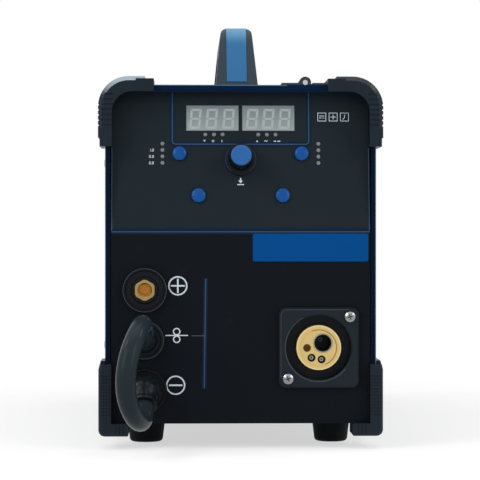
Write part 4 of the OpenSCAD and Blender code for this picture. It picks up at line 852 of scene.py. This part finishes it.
# %% The screw tree
def screw_tree():
    tree = bpy.data.node_groups.new("pan-head screws", "GeometryNodeTree")
    tree.interface.new_socket("Places", in_out="INPUT", socket_type="NodeSocketGeometry")
    for label, value in (("Head Radius", 0.003), ("Head Height", 0.0018), ("Slot Width", 0.0008)):
        socket = tree.interface.new_socket(label, in_out="INPUT", socket_type="NodeSocketFloat")
        socket.default_value = value
    tree.interface.new_socket("Finish", in_out="INPUT", socket_type="NodeSocketMaterial")
    tree.interface.new_socket("Screws", in_out="OUTPUT", socket_type="NodeSocketGeometry")
    nodes, links = tree.nodes, tree.links
    entry, end = nodes.new("NodeGroupInput"), nodes.new("NodeGroupOutput")
    head = nodes.new("GeometryNodeMeshCone")
    head.inputs["Vertices"].default_value = 24
    links.new(entry.outputs["Head Radius"], head.inputs["Radius Bottom"])
    shrink = nodes.new("ShaderNodeMath")
    shrink.operation = "MULTIPLY"
    shrink.inputs[1].default_value = 0.72
    links.new(entry.outputs["Head Radius"], shrink.inputs[0])
    links.new(shrink.outputs[0], head.inputs["Radius Top"])
    links.new(entry.outputs["Head Height"], head.inputs["Depth"])
    slot_size = nodes.new("ShaderNodeCombineXYZ")
    links.new(entry.outputs["Head Radius"], slot_size.inputs[0])
    links.new(entry.outputs["Slot Width"], slot_size.inputs[1])
    links.new(entry.outputs["Head Height"], slot_size.inputs[2])
    slot = nodes.new("GeometryNodeMeshCube")
    links.new(slot_size.outputs[0], slot.inputs["Size"])
    lift = nodes.new("ShaderNodeCombineXYZ")
    links.new(entry.outputs["Head Height"], lift.inputs[2])
    raise_slot = nodes.new("GeometryNodeTransform")
    links.new(slot.outputs["Mesh"], raise_slot.inputs["Geometry"])
    links.new(lift.outputs[0], raise_slot.inputs["Translation"])
    cross = nodes.new("GeometryNodeTransform")
    cross.inputs["Rotation"].default_value = (0, 0, math.pi / 2)
    links.new(raise_slot.outputs[0], cross.inputs["Geometry"])
    cut = nodes.new("GeometryNodeMeshBoolean")
    cut.operation = "DIFFERENCE"
    links.new(head.outputs["Mesh"], cut.inputs["Mesh 1"])
    links.new(raise_slot.outputs[0], cut.inputs["Mesh 2"])
    links.new(cross.outputs[0], cut.inputs["Mesh 2"])
    direction = nodes.new("GeometryNodeInputNamedAttribute")
    direction.data_type = "FLOAT_VECTOR"
    direction.inputs["Name"].default_value = "outwards"
    turn = nodes.new("FunctionNodeAlignEulerToVector")
    turn.axis = "Z"
    links.new(direction.outputs[0], turn.inputs["Vector"])
    spread = nodes.new("GeometryNodeInstanceOnPoints")
    links.new(entry.outputs["Places"], spread.inputs["Points"])
    links.new(cut.outputs["Mesh"], spread.inputs["Instance"])
    links.new(turn.outputs[0], spread.inputs["Rotation"])
    real = nodes.new("GeometryNodeRealizeInstances")
    links.new(spread.outputs[0], real.inputs[0])
    paint = nodes.new("GeometryNodeSetMaterial")
    links.new(real.outputs[0], paint.inputs["Geometry"])
    links.new(entry.outputs["Finish"], paint.inputs["Material"])
    links.new(paint.outputs[0], end.inputs[0])
    return tree


screws = screw_tree()


# %% Put screws on points
def grown_by(tree, name, points, directions, values, body):
    start = bpy.data.meshes.new(name + "_places")
    start.from_pydata([tuple(p) for p in points], [], [])
    outwards = start.attributes.new("outwards", "FLOAT_VECTOR", "POINT")
    for item, d in zip(outwards.data, directions):
        item.vector = d
    holder = bpy.data.objects.new(name + "_places", start)
    scene.collection.objects.link(holder)
    modifier = holder.modifiers.new("grow", "NODES")
    modifier.node_group = tree
    for item in tree.interface.items_tree:
        if item.in_out == "INPUT" and item.name in values:
            modifier[item.identifier] = values[item.name]
    result = bpy.data.meshes.new_from_object(
        holder.evaluated_get(bpy.context.evaluated_depsgraph_get()))
    result.name = name
    bpy.data.objects.remove(holder)
    piece = bpy.data.objects.new(name, result)
    scene.collection.objects.link(piece)
    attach(piece, body)
    print(name, "-", len(points), "screws,", len(result.polygons), "faces")


UP = (0.0, 0.0, 1.0)
hinge_low, hinge_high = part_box("hinge_leaves_fixed")
END_GAP, SECOND_GAP = 0.009, 0.037
rows = [hinge_low[1] + END_GAP, hinge_low[1] + SECOND_GAP,
        hinge_high[1] - SECOND_GAP, hinge_high[1] - END_GAP]
sizes = {"Head Radius": 0.0033, "Head Height": 0.0012, "Slot Width": 0.0008, "Finish": zinc}
LEAF_TOP = 270.0
screw_foot = (BASE + LEAF_TOP) * MM - sizes["Head Height"]
for name, x, body in (("hinge_screws_fixed", 0.040, "case"), ("hinge_screws_door", 0.066, "door")):
    places = [(x, y, screw_foot) for y in rows]
    grown_by(screws, name, places, [UP] * len(rows), sizes, body)

# %% Screws on the back panel
FAN, FAN_REACH = (-48, 150), 41
back_points = [on_back(FAN[0] + a * FAN_REACH, FAN[1] + b * FAN_REACH)
               for a in (-1, 1) for b in (-1, 1)]
back_points += [on_back(x, z) for x in (-94, 94) for z in (18.5, 134.5)]
back_points += [on_back(x, 250.5) for x in (-60, 60)]
sizes = {"Head Radius": 0.0036, "Head Height": 0.0018, "Slot Width": 0.0009, "Finish": zinc}
grown_by(screws, "back_screws", back_points, [(0.0, 1.0, 0.0)] * len(back_points), sizes, "case")

# %% [markdown]
# ## Floor and light
#
# A pale floor takes the shadow close to the machine and fades to white further
# out, so that no horizon shows. The room is white to the camera, to reflections and
# through glass, and only lights the machine at a plain level. Two soft lamps stand
# left and right of the camera and a large one hangs above. Two small ones stand
# almost level with the front, and the bevelled edges catch a light line from them.


# %% Floor
def seen_white(tree):
    path = tree.nodes.new("ShaderNodeLightPath")
    through = math_node(tree, "MAXIMUM", path.outputs["Is Glossy Ray"],
                        path.outputs["Is Transmission Ray"])
    return math_node(tree, "MAXIMUM", path.outputs["Is Camera Ray"], through)


FLOOR_HALF = 9
floor_data = bpy.data.meshes.new("studio_floor")
corners = [(x * FLOOR_HALF, y * FLOOR_HALF, 0) for x, y in ((-1, -1), (1, -1), (1, 1), (-1, 1))]
floor_data.from_pydata(corners, [], [(0, 1, 2, 3)])
floor = bpy.data.objects.new("studio_floor", floor_data)
scene.collection.objects.link(floor)
floor_paint = bpy.data.materials.new("studio floor")
floor_paint.use_nodes = True
paint_tree = floor_paint.node_tree
floor_shader = paint_tree.nodes["Principled BSDF"]
floor_shader.inputs["Base Color"].default_value = (0.9, 0.9, 0.9, 1)
floor_shader.inputs["Roughness"].default_value = 0.9
floor_shader.inputs["Specular IOR Level"].default_value = 0.0
white_glow = paint_tree.nodes.new("ShaderNodeEmission")
white_glow.inputs["Strength"].default_value = 1.0
distance = paint_tree.nodes.new("ShaderNodeVectorMath")
distance.operation = "LENGTH"
paint_tree.links.new(paint_tree.nodes.new("ShaderNodeTexCoord").outputs["Object"],
                     distance.inputs[0])
fade = paint_tree.nodes.new("ShaderNodeMapRange")
fade.interpolation_type = "SMOOTHSTEP"
for label, value in (("From Min", 0.25), ("From Max", 0.6), ("To Min", 0.6), ("To Max", 1.0)):
    fade.inputs[label].default_value = value
paint_tree.links.new(distance.outputs["Value"], fade.inputs["Value"])
blend = paint_tree.nodes.new("ShaderNodeMixShader")
whiteness = math_node(paint_tree, "MULTIPLY", fade.outputs["Result"], seen_white(paint_tree))
paint_tree.links.new(whiteness, blend.inputs[0])
paint_tree.links.new(floor_shader.outputs[0], blend.inputs[1])
paint_tree.links.new(white_glow.outputs[0], blend.inputs[2])
paint_tree.links.new(blend.outputs[0], paint_tree.nodes["Material Output"].inputs["Surface"])
floor_data.materials.append(floor_paint)

# %% World
PLAIN, FULL = 0.55, 1.0
world = bpy.data.worlds.new("studio")
scene.world = world
world.use_nodes = True
sky = world.node_tree
background = sky.nodes["Background"]
strength = math_node(sky, "ADD", PLAIN,
                     math_node(sky, "MULTIPLY", seen_white(sky), FULL - PLAIN))
background.inputs["Color"].default_value = (1, 1, 1, 1)
sky.links.new(strength, background.inputs["Strength"])


# %% Lamps
def soft_lamp(name, place, target, size, power):
    data = bpy.data.lights.new(name, "AREA")
    data.shape = "RECTANGLE"
    data.size, data.size_y = size
    data.energy = power
    lamp = bpy.data.objects.new(name, data)
    scene.collection.objects.link(lamp)
    lamp.location = place
    lamp.rotation_euler = (Vector(target) - Vector(place)).to_track_quat("-Z", "Y").to_euler()


soft_lamp("left_lamp", (-1.3, -1.3, 1.1), (0, 0, 0.15), (0.8, 1.2), 16)
soft_lamp("right_lamp", (1.4, -1.2, 0.9), (0, 0, 0.15), (0.8, 1.2), 11)
soft_lamp("top_lamp", (0.0, -0.2, 1.7), (0, 0, 0.2), (1.6, 1.2), 10)
soft_lamp("left_edge_lamp", (-1.15, -0.1, 1.25), (0, -0.2, 0.2), (0.2, 0.4), 4)
soft_lamp("right_edge_lamp", (1.15, -0.1, 1.2), (0, -0.2, 0.2), (0.2, 0.4), 3)
scene.view_settings.view_transform = "Standard"
